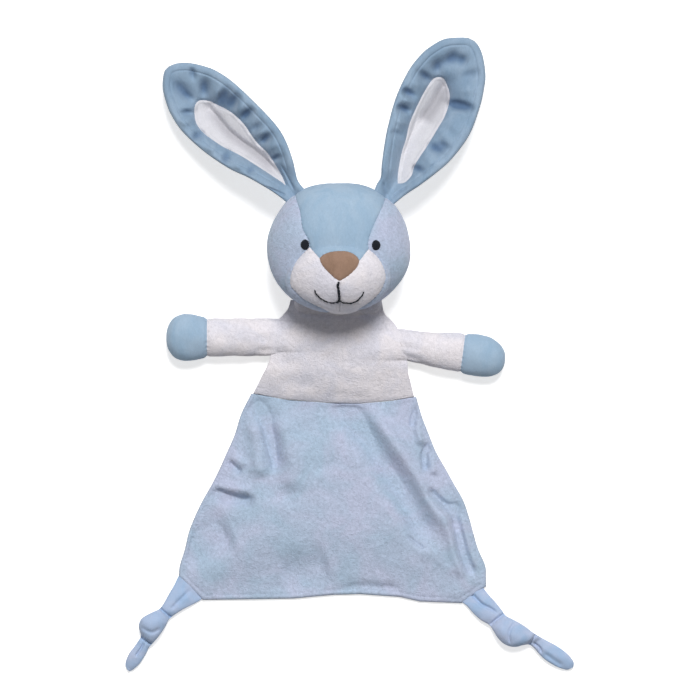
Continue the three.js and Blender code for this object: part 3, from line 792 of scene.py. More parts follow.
def seam_route(pixels):
    """A seam of the face as a route on the skin, without what would run off its edge."""
    run = smooth_run(pixels)
    shares = (run - HEAD_MIDDLE[:2]) / (HEAD_WIDTH / 2, HEAD_HEIGHT / 2)
    return on_face(run[np.hypot(*shares.T) < HEAD_EDGE_SHARE])


face_seams = [seam_route(run) for run in (
    BROW_LEFT, BRIDGE_LEFT, NOSE_TOP, NOSE_FLANK_RIGHT, NOSE_FLANK_LEFT, BRIDGE_RIGHT,
    BROW_RIGHT, MUZZLE_EDGE, LIP_SEAM)]


def pulled_in(distance, place):
    """How far the skin is pulled in, this far from a seam and this far along it."""
    stitches = 1 + STITCH_BITE * np.cos(2 * math.pi * place / STITCH)
    seam = SEAM_DEPTH * stitches * hump(distance, SEAM_WIDTH)
    return seam + PUFF_DEPTH * hump(distance, PUFF_WIDTH)


def settle_head(points):
    """The skin with its seams pulled in and its small bumps."""
    offset = points - HEAD_MIDDLE
    pull = np.zeros(len(points))
    for route in face_seams:
        distance, place, _ = near_route(points, route)
        pull = np.maximum(pull, pulled_in(distance, place))
    around = np.arctan2(offset[:, 1], offset[:, 0]) * HEAD_WIDTH / 2
    pull = np.maximum(pull, ROUND_SEAM_SHARE * pulled_in(points[:, 2] - seam_height, around))
    behind = pulled_in(points[:, 0], points[:, 1]) * (points[:, 2] < seam_height)
    pull = np.maximum(pull, behind)
    return points + unit(offset) * (bumps(points, HEAD_BUMPS) - pull)[:, None]


def keep_skin(piece):
    """Deletes the faces that a cutter left inside."""
    pick(piece)
    piece.data.polygons.foreach_set("select", [face.material_index == INNER
                                               for face in piece.data.polygons])
    bpy.ops.object.mode_set(mode="EDIT")
    bpy.context.tool_settings.mesh_select_mode = (False, False, True)
    bpy.ops.mesh.delete(type="FACE")
    bpy.ops.mesh.select_mode(type="VERT")
    bpy.ops.mesh.select_all(action="SELECT")
    bpy.ops.mesh.remove_doubles(threshold=MERGE_GAP * MM)
    bpy.ops.mesh.delete_loose()
    close_mesh()


for panel in head_panels:
    keep_skin(panel)
    settled = settle_head(points_of(panel))
    settled[:, 2] = np.maximum(settled[:, 2], 0)
    move_points(panel, settled)
    modify(panel, "SOLIDIFY", thickness=CLOTH * MM, offset=-1)
    face_outwards(panel)
    print(panel.name, len(panel.data.polygons), "faces")

# %% [markdown]
# Each panel gets its fabric, and the plain solid that it stands for is hidden. The forehead also
# stands for the filling, which nobody sees.

# %% Dress the head's panels
def dress(piece, finish, slot, *nodes):
    """Gives a piece its material and says which plain solids it stands for."""
    piece.data.materials.clear()
    piece.data.materials.append(finish)
    piece.data.polygons.foreach_set("material_index", [0] * len(piece.data.polygons))
    if nodes:
        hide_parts(*nodes)


dress(forehead, velour_blue, "velour_blue", "forehead_panel", "head_filling")
dress(nose, velour_taupe, "nose_taupe", "nose_panel")
for part_name, finish, slot in (("head_side", plush_blue, "plush_pale_blue"),
                                ("head_back", plush_blue, "plush_pale_blue"),
                                ("muzzle", plush_white, "plush_white")):
    for side, panel in zip(("left", "right"), halves[part_name]):
        dress(panel, finish, slot, f"{part_name}_{side}")
for panel in head_panels:
    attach(panel, "head")
print("dressed", len(head_panels), "panels")

# %% [markdown]
# ## Embroidered eyes and mouth
# Each eye is an oval of satin stitch: black threads laid side by side over a small raised pad.
# The mouth is a backstitch of thick thread, which thins out along the smile. A thread is a tube of
# two twisted yarns. One helper lays a yarn along a route, as a curve with a round bevel that is
# then made a mesh.

# %% Yarn along a route
YARN_BEVEL = 1
YARN_END_SHARES = (0.12, 0.88)
YARN_TAPER = 0.35


def yarn(name, routes, radius):
    """Round yarns along some routes, as one mesh. They thin out at their ends."""
    line = bpy.data.curves.new(name, "CURVE")
    line.dimensions = "3D"
    line.bevel_depth = radius * MM
    line.bevel_resolution = YARN_BEVEL
    line.use_fill_caps = True
    for route in routes:
        spline = line.splines.new("POLY")
        spline.points.add(len(route) - 1)
        thin = np.sin(np.linspace(*YARN_END_SHARES, len(route)) * math.pi) ** YARN_TAPER
        for point, place, share in zip(spline.points, route, thin):
            point.co = (*(place * MM), 1)
            point.radius = share
    piece = bpy.data.objects.new(name, line)
    bpy.context.scene.collection.objects.link(piece)
    pick(piece)
    bpy.ops.object.convert(target="MESH")
    piece = named(name)
    face_outwards(piece)
    return piece


print("a yarn's ends are", round(math.sin(YARN_END_SHARES[0] * math.pi) ** YARN_TAPER, 2), "as thick")

# %% [markdown]
# The threads of an eye run up and down. The middle ones are the longest and lie the highest, as
# satin stitch does over a pad. A plain black disc would look like a hole.

# %% The eyes
EYE_WIDTH = 4.4
EYE_HEIGHT = 5.5
EYE_RISE = 1.1
EYE_SUNK = 0.35
EYE_YARNS = 15
EYE_YARN_STEPS = 11
EYE_EDGE_SHARE = 0.94
EYE_YARN_SHARE = 1.05
EYE_PLACES = {"left": (305.1, 245.2), "right": (376.1, 245.8)}


def satin_eye(side):
    """Yarns side by side over an oval, lying on the face."""
    seat = from_photo([EYE_PLACES[side]])[0]
    routes = []
    for across in np.linspace(-EYE_EDGE_SHARE, EYE_EDGE_SHARE, EYE_YARNS):
        half = math.sqrt(1 - across ** 2)
        along = np.linspace(-half, half, EYE_YARN_STEPS)
        plan = np.column_stack([seat[0] + across * EYE_WIDTH / 2 + 0 * along,
                                seat[1] + along * EYE_HEIGHT / 2])
        skin = on_face(plan)
        rise = EYE_RISE * np.sqrt(np.clip(1 - across ** 2 - along ** 2, 0, 1)) - EYE_SUNK
        routes.append(skin + unit(skin - HEAD_MIDDLE) * rise[:, None])
    return yarn(f"eye_{side}", routes, EYE_YARN_SHARE * EYE_WIDTH / EYE_YARNS)


for side in ("left", "right"):
    eye = satin_eye(side)
    dress(eye, thread_black, "thread_black", f"eye_{side}")
    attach(eye, "head")
    print(eye.name, len(eye.data.polygons), "faces")

# %% [markdown]
# The lip is stitched in a thicker thread than the smile. A stitch dips into the cloth at both
# ends, where it overlaps the next, and its two yarns wind round each other. The left half of the
# smile is joined to the lip, and the right half is a piece of its own.

# %% The mouth
MOUTH_THICK = 0.76
MOUTH_THIN = 0.44
MOUTH_STITCHES = 4
STITCH_STEPS = 14
STITCH_OVERLAP_SHARE = 0.06
STITCH_TURNS = 1.2
STITCH_END_SHARE = 0.1
STITCH_ARCH_SHARE = 0.9
PLY_APART_SHARE = 0.45
PLY_SHARE = 0.62
LIP = [(338.9, 282.4), (337.9, 285.6), (338.7, 290), (339.4, 295.6), (339.2, 300), (336.4, 302.8)]
SMILE_LEFT = [(336, 302.8), (330.9, 302.6), (325.9, 301.1), (320.9, 298.3), (317, 294.4),
              (314.8, 290.2)]
SMILE_RIGHT = [(340, 301), (344.2, 302.8), (350.9, 303.1), (356.4, 301.1), (360.9, 296.7),
               (363.7, 292)]


def backstitches(name, pixels, radius):
    """Stitches end to end along the face, each of two twisted yarns that dip into the cloth."""
    line = smooth_route(on_face(smooth_run(pixels)), 3)
    run = run_along(line)
    routes = []
    for stitch in range(MOUTH_STITCHES):
        low, high = (run[-1] * (stitch + end) / MOUTH_STITCHES
                     for end in (-STITCH_OVERLAP_SHARE, 1 + STITCH_OVERLAP_SHARE))
        at = np.linspace(max(low, 0), min(high, run[-1]), STITCH_STEPS)
        middle = places_at(line, run, at)
        out = unit(middle - HEAD_MIDDLE)
        across = np.cross(unit(np.gradient(middle, axis=0)), out)
        arch = np.sin(np.linspace(0, 1, len(at)) * math.pi)
        for ply in (0, math.pi):
            turn = ply + np.linspace(0, 2 * STITCH_TURNS * math.pi, len(at))
            rise = radius * (STITCH_END_SHARE + STITCH_ARCH_SHARE * arch)
            rise = rise + PLY_APART_SHARE * radius * np.sin(turn)
            aside = PLY_APART_SHARE * radius * np.cos(turn)
            routes.append(middle + out * rise[:, None] + across * aside[:, None])
    return yarn(name, routes, PLY_SHARE * radius)


lip = backstitches("mouth_stitch_left", LIP, MOUTH_THICK)
smile = backstitches("smile_left", SMILE_LEFT, MOUTH_THIN)
pick(lip, smile)
bpy.ops.object.join()
smile_right = backstitches("mouth_stitch_right", SMILE_RIGHT, MOUTH_THIN)
for stitches, side in ((lip, "left"), (smile_right, "right")):
    dress(stitches, thread_black, "thread_black", f"mouth_stitch_{side}")
    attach(stitches, "head")
    print(stitches.name, len(stitches.data.polygons), "faces")

# %% [markdown]
# ## Layers of cloth
# The ears, the chest and the skirt are each two layers sewn together round their edge and turned
# right side out. A layer starts as a flat grid. Its columns and rows are the shares of the way
# across and along the cut, a function gives the place of every share, and Solidify adds the
# cloth's thickness. Where two layers meet at an edge, their fold is as thick as both.

# %% A layer of cloth from a surface
FOLD_HALF = 1.55


def layer(name, grid, surface, thickness=CLOTH):
    """A grid laid on a surface, with the cloth's thickness below it, or above if negative."""
    columns, rows = scaled(grid)
    bpy.ops.mesh.primitive_grid_add(x_subdivisions=columns, y_subdivisions=rows, size=2 * MM)
    piece = named(name)
    shares = points_of(piece)
    move_points(piece, surface(shares[:, 0], (1 - shares[:, 1]) / 2))
    if sum(face.normal.z for face in piece.data.polygons) < 0:
        open_mesh(piece)
        bpy.ops.mesh.flip_normals()
        close_mesh()
    modify(piece, "SOLIDIFY", thickness=thickness * MM, offset=-1)
    face_outwards(piece)
    return piece


def joint_place(name):
    """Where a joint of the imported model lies, in millimetres."""
    return np.array(joints[name]["pos_m"]) / MM


print("the skirt folds at", joint_place("skirt_fold"))

# %% [markdown]
# ## Ears
# Each ear is a long leaf of velour, lightly padded, whose front has a white lining let in. The
# shorter lining pulls the leaf into a deep narrow bowl: a valley runs along its middle, and the
# rim rises steeply round it and rolls over at the edge. The rim is longer than the lining's seam,
# so it is gathered into dimples and short bumps. At the root the ear is pinched and caught in the
# head's seam. The ear's own frame runs along it from the line that it folds about, and that line
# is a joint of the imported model.

# %% The ears' cut and folds
EAR_LENGTH = 99
EAR_WIDTH = 44
EAR_ROOT = 6
EAR_EDGE_STEPS = 110
EAR_ROUTE_STEPS = 4
EARS = {
    "left": {
        "turn": 44,
        "edge_shares": [[-0.06, -0.27, 0.27], [0, -0.3, 0.3], [0.05, -0.336, 0.413],
                        [0.11, -0.4, 0.57], [0.22, -0.54, 0.78], [0.33, -0.72, 0.88],
                        [0.5, -0.875, 0.89], [0.67, -0.92, 0.855], [0.78, -0.84, 0.76],
                        [0.85, -0.727, 0.63], [0.93, -0.529, 0.405], [0.98, -0.312, 0.169],
                        [1, -0.17, -0.03]],
        "lining": [(286, 186), (277.3, 179.5), (248.2, 160.5), (235.5, 153.2), (222.7, 146.8),
                   (211.8, 139.5), (202.7, 132.3), (196.4, 123.2), (194.5, 112.3),
                   (195.5, 105), (198.5, 101.3), (202.7, 100.5), (210, 101.4), (217.3, 105),
                   (226.4, 109.5), (235.5, 115.9), (244.5, 125), (251.8, 135.9), (259.1, 145),
                   (268.2, 154), (275.5, 165), (282.7, 177.7)],
        "valley": [(210, 108.6), (219.1, 119.5), (228.2, 130.5), (240.9, 141.4),
                   (255.5, 151.5), (266.4, 160.5), (277.3, 172.3), (286, 184), (295, 197)],
        "valley_round": 1.0,
        "valley_rise": 5.5,
        "creases": [([(262, 187), (274, 191), (288, 197)], 0.8, 1.3, 0),
                    ([(281, 165), (288, 178), (295, 192)], 0.7, 1.2, 0),
                    ([(208, 107), (219.1, 119.5), (228.2, 130.5), (240.9, 141.4), (255.5, 151.5),
                      (268, 163), (281, 177)], 2.6, 3.2, 0.45)],
        "dimples": [(192.7, 73.2, 1.7, 1.6), (204.5, 86.8, 2.6, 2.8), (181, 88, 3.2, 2.2),
                    (187.5, 95.5, 2.0, 1.7), (223, 98, 3.0, 3.3), (232, 101.5, 2.8, 3.0),
                    (246.4, 114, 2.2, 3.3), (256.5, 127, 2.2, 1.4), (265.5, 138.6, 2.0, 3.0),
                    (275.5, 157.7, 1.7, 2.4), (187, 112, 2.0, 1.5), (197, 136, 2.5, 1.9),
                    (226, 158, 2.6, 1.9), (251, 171, 2.0, 1.5), (190.9, 106.8, 2.4, -1.2),
                    (186.4, 120.5, 2.6, -1.2), (210, 148.6, 2.8, -1.3), (238, 166.5, 2.8, -1.2),
                    (217, 91.5, 2.4, -1.1), (240.5, 107, 1.9, -1.0), (261, 131.5, 1.9, -1.1),
                    (271, 147, 2.2, -1.2)],
    },
    "right": {
        "turn": -27,
        "edge_shares": [[-0.06, -0.27, 0.3], [0, -0.3, 0.41], [0.05, -0.292, 0.522],
                        [0.11, -0.4, 0.67], [0.22, -0.57, 0.9], [0.33, -0.71, 1.08],
                        [0.5, -0.86, 1.2], [0.67, -0.885, 1.12], [0.78, -0.8, 1.0],
                        [0.85, -0.681, 0.886], [0.93, -0.448, 0.654], [0.98, -0.111, 0.431],
                        [1, 0.08, 0.25]],
        "lining": [(397.5, 184), (397.7, 175.9), (399.5, 163.2), (402.3, 150.5),
                   (405.9, 139.5), (408.6, 126.8), (412.6, 115.9), (417.7, 105),
                   (423.2, 94.1), (428.6, 85), (432.6, 79.6), (437.7, 77.5), (443.2, 78.6),
                   (446.8, 85), (449.5, 94.1), (448.6, 105), (444.1, 117.7), (437.7, 128.6),
                   (432.3, 137.7), (426.8, 146.8), (419.5, 157.7), (414.1, 166.8),
                   (411.4, 175.9), (404.5, 183)],
        "valley": [(444, 86), (438, 97), (430, 110), (419, 125), (410, 141), (403.5, 157),
                   (399, 172), (394.5, 184), (387, 199)],
        "valley_round": 1.8,
        "valley_rise": 7,
        "creases": [([(417.7, 115.9), (410, 138), (402.5, 158)], 0.8, 0.8, 0),
                    ([(407, 187), (399, 193), (391, 199)], 0.8, 1.2, 0),
                    ([(383, 183), (384.5, 190), (387, 197)], 0.7, 1.1, 0),
                    ([(445, 84), (439, 96), (431, 110), (421, 124)], 4, 3.6, -0.3),
                    ([(430, 71), (441, 63.5), (453, 58.5), (469, 62)], 2.6, 2.4, 0)],
        "dimples": [(452, 57.5, 3.0, 1.5), (463, 60, 2.4, 1.0), (437, 66, 2.4, 1.2),
                    (425, 76, 2.3, 2.6), (407.7, 92.3, 2.1, 3.0), (403.2, 108.6, 2.1, 3.0),
                    (459.5, 105, 2.8, 3.1), (452.5, 104, 2.2, 2.2), (467, 107, 2.2, 1.6),
                    (435.9, 148.6, 2.6, 2.8), (443.5, 145.5, 2.2, 1.7), (417.7, 168.6, 2.2, 2.4),
                    (471, 74, 2.8, 1.2), (397, 133, 2.0, 1.1), (401, 121.5, 2.2, -1.2),
                    (463, 89, 3.0, -1.3), (453, 125, 3.2, -1.2), (430, 160, 2.6, -1.2),
                    (406.5, 100, 1.8, -1.1), (415.5, 84, 2.0, -0.9), (444, 134, 2.6, -0.8)],
    },
}


def ear_frame(side):
    """The ear's fold line: its middle, and the turn from the ear's own frame to the toy's."""
    middle = joint_place(f"ear_{side}_flop")
    tip_down = math.asin((middle[2] - FOLD_HALF) / EAR_LENGTH)
    turn = Euler((0, 0, math.radians(EARS[side]["turn"]))).to_matrix() @ Euler(
        (-tip_down, 0, 0)).to_matrix()
    return middle, np.array(turn)


def in_ear(side, pixels):
    """Places of the photograph in the ear's own frame, as if the ear lay flat."""
    middle, turn = ear_frame(side)
    plan = from_photo(pixels) - middle[:2]
    return np.column_stack(np.linalg.solve(turn[:2, :2], plan.T))


def from_ear(side, plan):
    """Places of the ear's own frame in the toy's, seen from above."""
    middle, turn = ear_frame(side)
    return middle[:2] + plan @ turn[:2, :2].T


def lining_seam(side):
    """The closed seam between an ear's lining and its rim."""
    lining = EARS[side]["lining"]
    return smooth_route(in_ear(side, lining + lining[:1]), EAR_ROUTE_STEPS)


print("left lining in the ear's frame:", lining_seam("left")[0].round(1))

# %% [markdown]
# The ear's height is a sum of its parts: the bowl, the sag between head and tip, the roll of the
# edge, the puff of the rim, the step down to the lining, the dimples and the creases. Each is a
# few words of code, which is easier to tune than a sculpted mesh. The bowl comes first, because
# both layers follow it.

# %% The bowl of an ear
VALLEY_WIDTH = 5.5
WALL_SLOPE = 0.85
WALL_WIDEST = 8
WALL_CURVE = 1.35
WALL_START = 12
SAG = 3
ROLL = 1.0
ROLL_WIDTH = 2.8


def ear_plan(side, across, along):
    """Where a share of the ear's cut lies in its own frame, seen from above."""
    table = EARS[side]["edge_shares"]
    share = along * (1 + EAR_ROOT / EAR_LENGTH) - EAR_ROOT / EAR_LENGTH
    low, high = (from_table(table, share, column) * EAR_WIDTH / 2 for column in (1, 2))
    return np.column_stack([low + (high - low) * (across + 1) / 2, share * EAR_LENGTH])


def ear_outline(side):
    """The ear's whole edge in its own frame."""
    shares = np.linspace(0, 1, EAR_EDGE_STEPS)
    return np.vstack([ear_plan(side, 0 * shares - 1, shares),
                      ear_plan(side, 0 * shares + 1, shares[::-1])])


def ear_bowl(side, plan, from_edge, from_seam, rim):
    """The height of the bowl that both layers follow: its valley, its wall and its rolled edge."""
    place = np.clip(plan[:, 1] / EAR_LENGTH, 0, 1)
    route = smooth_route(in_ear(side, EARS[side]["valley"]), EAR_ROUTE_STEPS)
    from_valley, _, _ = near_route(plan, route)
    soften = EARS[side]["valley_round"]
    run = np.hypot(from_valley, soften) - soften
    dip = EARS[side]["valley_rise"] * (1 - np.exp(-run / VALLEY_WIDTH))
    width = from_edge + from_seam + KEEPS_FROM_ZERO
    climb = 1 - (1 - rim * from_seam / width) ** WALL_CURVE
    wall = WALL_SLOPE * WALL_WIDEST * np.tanh(width / WALL_WIDEST) * climb
    roll = ROLL * np.clip(1 - from_edge / ROLL_WIDTH, 0, 1) ** 2
    sag = SAG * np.sin(math.pi * place)
    return dip + wall * smoothstep(plan[:, 1], 0, WALL_START) - roll - sag


print("left ear's edge:", len(ear_outline("left")), "points")

# %% [markdown]
# A dimple is a place in the photograph, a size and a depth. A negative depth makes a bump. The
# dents also get painted shade, darker than their shadow alone: every vertex of the front gets a
# value that tells how deep it lies, and the fabric darkens by it.

# %% Dimples and creases
DIMPLE_LONG = 1.8
DIMPLE_PRESS = 1.8
DIMPLE_ON_LINING = 1.3
DIMPLE_FROM_EDGE = (0.8, 3.5)
DARK_SIDE_SHARE = 0.6
PAINTED_SHADE_DEPTH = 5.4


def dimple(side, plan, seam, spot, shift=DARK_SIDE_SHARE):
    """A dent that is longer across the seam than along it.

    Its dark wall is the one nearer the lamp. So the dent's middle is shifted a share of its size
    away from the lamp, and the dark wall comes to lie on the dark spot of the photograph.
    """
    x, y, size, depth = spot
    middle = in_ear(side, [(x, y + shift * size)])[0]
    nearest = seam[np.argmin(np.linalg.norm(seam - middle, axis=1))]
    out = (middle - nearest) / np.linalg.norm(middle - nearest)
    offset = plan - middle
    long = hump(offset @ out, DIMPLE_LONG * size)
    return DIMPLE_PRESS * depth * long * hump(offset @ np.array([-out[1], out[0]]), size)


def dents(side, plan, seam, rim, from_seam, from_edge):
    """How far the dimples and the creases press the ear's front down."""
    gathered = np.where(rim, 1, hump(from_seam, DIMPLE_ON_LINING))
    gathered = gathered * smoothstep(from_edge, *DIMPLE_FROM_EDGE)
    press = np.zeros(len(plan))
    for spot in EARS[side]["dimples"]:
        press += gathered * dimple(side, plan, seam, spot)
    for route, width, depth, steep in EARS[side]["creases"]:
        press -= valley(plan, in_ear(side, route), width, depth, steep)
    return press


# These values drive painted shade: the fabric is darker where they are high.
def mark_painted_shade(piece, side):
    """Writes at each vertex how deep it lies in a dimple or a crease, from 0 to 1."""
    middle, turn = ear_frame(side)
    place = (points_of(piece) - middle) @ turn
    plan = place[:, :2].copy()
    plan[:, 1] -= place[:, 2] * turn[2, 1] / turn[2, 2]
    seam = lining_seam(side)
    # How deep each vertex lies, which sets how dark its painted shade is.
    closed = np.zeros(len(plan))
    for spot in EARS[side]["dimples"]:
        if spot[3] > 0:
            closed += dimple(side, plan, seam, spot, shift=0) / PAINTED_SHADE_DEPTH
    for route, width, depth, steep in EARS[side]["creases"]:
        closed -= valley(plan, in_ear(side, route), width, depth, steep) / PAINTED_SHADE_DEPTH
    values = piece.data.attributes.new(PAINTED_SHADE_NAME, "FLOAT", "POINT").data
    values.foreach_set("value", smoothstep(closed, 0, 1).astype(np.float32))


print("dimples:", [len(EARS[side]["dimples"]) for side in EARS])

# %% [markdown]
# The front lies on the bowl with its puff, its seams and its dents. The back lies under it, and
# the wadding keeps them apart. A dent can press the wadding flat, and it stops before the front's
# cloth meets the back's.

# %% The front and the back of an ear
EDGE_ROUND_SHARE = 0.02
EAR_PUFF = 0.9
PUFF_POWER = 0.6
PUFF_START = (2, 14)
GATHER_SHARE = 0.2
GATHER_RUN = 1.5
GATHER_DRIFT = 7
GATHER_SWAY = 2
GATHER_FROM_SEAM = 2.5
GATHER_WIDTH = 3
LINING_SEAM_DEPTH = 0.8
LINING_SEAM_WIDTH = 0.8
LINING_DROP = 1.1
LINING_DROP_WIDTH = 2.2
TOPSTITCH = 4.4
TOPSTITCH_DEPTH = 0.5
TOPSTITCH_WIDTH = 0.5
WADDING = 3.4
WADDING_EDGE = 6
EAR_THINNEST = 2.5
LEAST_DENT = 0.3
BUMPS_FROM_EDGE = 3
EAR_FRONT_BUMPS = [(0.3, 6, 22)]
EAR_BACK_BUMPS = [(0.3, 8, 21)]


def ear_heights(side, across, along, front):
    """Where the ear's front or back layer lies in the ear's own frame."""
    plan = ear_plan(side, across, along)
    from_edge, _, _ = near_route(plan, ear_outline(side))
    seam = lining_seam(side)
    from_seam, place, _ = near_route(plan, seam)
    rim = np.where(inside(plan, seam), 0, 1)
    bowl = ear_bowl(side, plan, from_edge, from_seam, rim)
    rounded = np.clip(from_edge / FOLD_HALF, 0, 1)
    half = FOLD_HALF * np.sqrt(np.clip(1 - (1 - rounded) ** 2, EDGE_ROUND_SHARE, 1))
    whole = np.column_stack([plan, bowl])
    even = smoothstep(from_edge, 0, BUMPS_FROM_EDGE)
    padding = WADDING * smoothstep(from_edge, 0, WADDING_EDGE)
    if not front:
        return plan, bowl - half - padding + bumps(whole, EAR_BACK_BUMPS) * even
    away = smoothstep(plan[:, 1], *PUFF_START)
    share = from_edge / (from_edge + from_seam + KEEPS_FROM_ZERO)
    wave = np.cos(place / GATHER_RUN + GATHER_SWAY * np.sin(place / GATHER_DRIFT))
    gathers = 1 + GATHER_SHARE * wave * hump(from_seam - GATHER_FROM_SEAM, GATHER_WIDTH)
    puff = rim * EAR_PUFF * (4 * share * (1 - share)) ** PUFF_POWER
    heights = bowl + half + puff * away * gathers
    drop = LINING_DROP * (1 - rim) * smoothstep(from_seam, 0, LINING_DROP_WIDTH)
    heights -= LINING_SEAM_DEPTH * hump(from_seam, LINING_SEAM_WIDTH) + drop
    heights -= TOPSTITCH_DEPTH * rim * hump(from_edge - TOPSTITCH, TOPSTITCH_WIDTH) * away
    press = dents(side, plan, seam, rim, from_seam, from_edge)
    heights += bumps(whole, EAR_FRONT_BUMPS) * even
    room = np.maximum(heights - bowl + half + padding - EAR_THINNEST, LEAST_DENT)
    return plan, heights - room * np.tanh(press / room)


def ear_surface(side, front):
    """A function that lays one of the ear's layers."""
    middle, turn = ear_frame(side)

    def surface(across, along):
        plan, heights = ear_heights(side, across, along, front)
        plan[:, 1] += heights * turn[2, 1] / turn[2, 2]
        placed = middle + np.column_stack([plan, heights]) @ turn.T
        placed[:, 2] = np.maximum(placed[:, 2], 2 * FOLD_HALF if front else 0)
        return placed
    return surface


def keep_within(piece, outline):
    """Moves what sticks out of an outline back onto it, seen from above."""
    points = points_of(piece)
    stray = ~inside(points, outline)
    loop = np.vstack([outline, outline[:1]])
    _, place, _ = near_route(points[stray], loop)
    points[stray, :2] = places_at(loop, run_along(loop), place)
    move_points(piece, points)


print("wadding", WADDING, "mm thick, and the ear's thinnest place", EAR_THINNEST, "mm")

# %% [markdown]
# The front is a fine grid, because its dimples are small. The lining is cut out of it along its
# seam, so that rim and lining meet exactly. What would stick out of the ear's cut is moved back
# onto it.

# %% Sew the ears
EAR_FRONT_GRID = (130, 220)
EAR_BACK_GRID = (60, 110)
EAR_CLOTH = 1.0
EAR_BEND = 11
for side in ("left", "right"):
    middle, turn = ear_frame(side)
    front = layer(f"ear_rim_{side}", EAR_FRONT_GRID, ear_surface(side, True), EAR_CLOTH)
    rear = layer(f"ear_back_{side}", EAR_BACK_GRID, ear_surface(side, False), -EAR_CLOTH)
    for piece in (front, rear):
        keep_within(piece, from_ear(side, ear_outline(side)))
    tool = cutter(from_ear(side, lining_seam(side)[:-1]), -EAR_WIDTH)
    lining = share_out(front, tool, f"ear_lining_{side}")
    dress(front, velour_blue_shaded, "velour_blue", f"ear_rim_{side}")
    dress(lining, velour_white, "plush_white", f"ear_lining_{side}")
    dress(rear, velour_blue_shaded, "velour_blue", f"ear_back_{side}", f"ear_wadding_{side}")
    way = turn @ np.array([0, 1, 0])
    start, end = (middle + way * run for run in (-EAR_ROOT / 2, EAR_BEND - EAR_ROOT / 2))
    for piece in (front, lining, rear):
        face_outwards(piece)
        if piece is not rear:
            mark_painted_shade(piece, side)
        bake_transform(piece)
        print(piece.name, len(piece.data.polygons), "faces")

# %% [markdown]
# ## Chest
# The chest is a small pillow between the neck, the armholes and the waist. It is fullest below
# the chin, dives under the head, and flattens to the waist seam, which sags a little in the
# middle. Its back lies flat and curls up at the neck, where both layers give way to the head.

# %% The chest's cut
NECK_EDGE = 33
WAIST_GAP = 0.1
WIDTH_ROUNDS = 4
WAIST_SEAM = [(-52, -17.6), (-45.9, -18.6), (-30.3, -21.4), (-5, -23.6), (11.6, -24),
              (30.3, -22.3), (41.8, -20.3), (48, -19)]
CHEST_EDGES = [[-24, -49.4, 43.4], [-19.8, -47.3, 41.8], [-15.4, -45.1, 40.7], [-11, -42.9, 39.6],
               [-6.6, -40.7, 38.5], [-3.3, -39, 38.3], [0, -37.7, 38], [5, -36.6, 36.6],
               [11, -35.2, 34.7], [16.5, -34.6, 33.3], [20, -34, 31], [22, -33.2, 29.2],
               [24.2, -30.8, 26.6], [26.4, -28.8, 25.3], [28.6, -27.3, 24.7], [33, -26, 24]]


def waist_line(x):
    """Where the waist's seam lies up and down the toy, at this x."""
    return np.interp(x, *np.array(WAIST_SEAM).T)


def up_from_waist(x, along):
    """How high a share of the way from the waist to the neck lies, at this x."""
    waist = waist_line(x) + WAIST_GAP
    return waist + (NECK_EDGE - waist) * along


def chest_plan(across, along):
    """Where a share of the chest's cut lies, seen from above.

    The waist's height depends on the place across, and that on the height, so each edge is found
    in a few rounds.
    """
    edges = []
    for column in (1, 2):
        x = 0 * along
        for _ in range(WIDTH_ROUNDS):
            x = from_table(CHEST_EDGES, up_from_waist(x, along), column)
        edges.append(x)
    x = edges[0] + (edges[1] - edges[0]) * (across + 1) / 2
    return x, up_from_waist(x, along)


print("waist at the middle:", waist_line(0), "mm")

# %% [markdown]
# Both layers start from the side seams, which climb from the waist to the middle of the arms. The
# front swells from them to a crown that is highest towards the chin, and the back sags to the
# surface that the toy lies on.

# %% The chest's layers
SIDE_SEAM_LIFT = 8
SIDE_SEAM_CLIMB = (-23, -2)
NECK_START = 22
NECK_FALL = 8
NECK_CURL = 4
BACK_CURL_SHARE = 0.5
ARMHOLE_HALF = 4.8
ARMHOLE_REACH = 8.4
CHEST_POWER = 2.3
SIDE_SEAM_HALF = 1.35
WAIST_DIP = 0.6
WAIST_DIP_WIDTH = 1.2
CHEST_BUMPS = [(0.6, 12, 31), (0.25, 5, 33)]
CHEST_BUMPS_EDGE_SHARE = 0.2
CHEST_BACK_SHARE = 0.3
CHEST_DEPTHS = [[-24, 3.8], [-20, 6.2], [-16, 8.5], [-11, 10.8], [-4, 13.2], [5, 15],
                [14, 16], [22, 16.5]]


def chest_surface(front):
    """A function that lays the chest's front or back."""
    lowest, highest = CHEST_DEPTHS[0][0], CHEST_DEPTHS[-1][0]

    def surface(across, along):
        x, y = chest_plan(across, along)
        seam = FOLD_HALF + (SIDE_SEAM_LIFT - FOLD_HALF) * smoothstep(y, *SIDE_SEAM_CLIMB)
        arm_y = np.where(across < 0, *(joint_place(f"arm_{side}_fold")[1]
                                       for side in ("left", "right")))
        armhole = np.sqrt(np.clip(1 - ((y - arm_y) / ARMHOLE_REACH) ** 2, 0, 1))
        half = np.maximum(SIDE_SEAM_HALF, ARMHOLE_HALF * armhole)
        neck = np.clip((y - NECK_START) / (NECK_EDGE - NECK_START), 0, 1) ** 2
        fullness = 1 - np.abs(across) ** CHEST_POWER
        if front:
            crown = from_table(CHEST_DEPTHS, np.clip(y, lowest, highest), 1) - NECK_FALL * neck
            crown = np.maximum(crown, seam + FOLD_HALF)
            z = seam + half + (crown - seam - half) * fullness
            z = z - WAIST_DIP * hump(y - waist_line(x), WAIST_DIP_WIDTH)
        else:
            curl = np.clip((np.abs(across) - BACK_CURL_SHARE) / (1 - BACK_CURL_SHARE), 0, 1)
            z = (seam - half) * curl ** 2 + NECK_CURL * neck * fullness
        points = np.column_stack([x, y, z])
        wrinkle = bumps(points, CHEST_BUMPS)
        wrinkle = wrinkle * smoothstep(1 - np.abs(across), 0, CHEST_BUMPS_EDGE_SHARE)
        if front:
            points[:, 2] += wrinkle
        else:
            points[:, 2] = np.maximum(points[:, 2] + CHEST_BACK_SHARE * wrinkle, 0)
        return points
    return surface


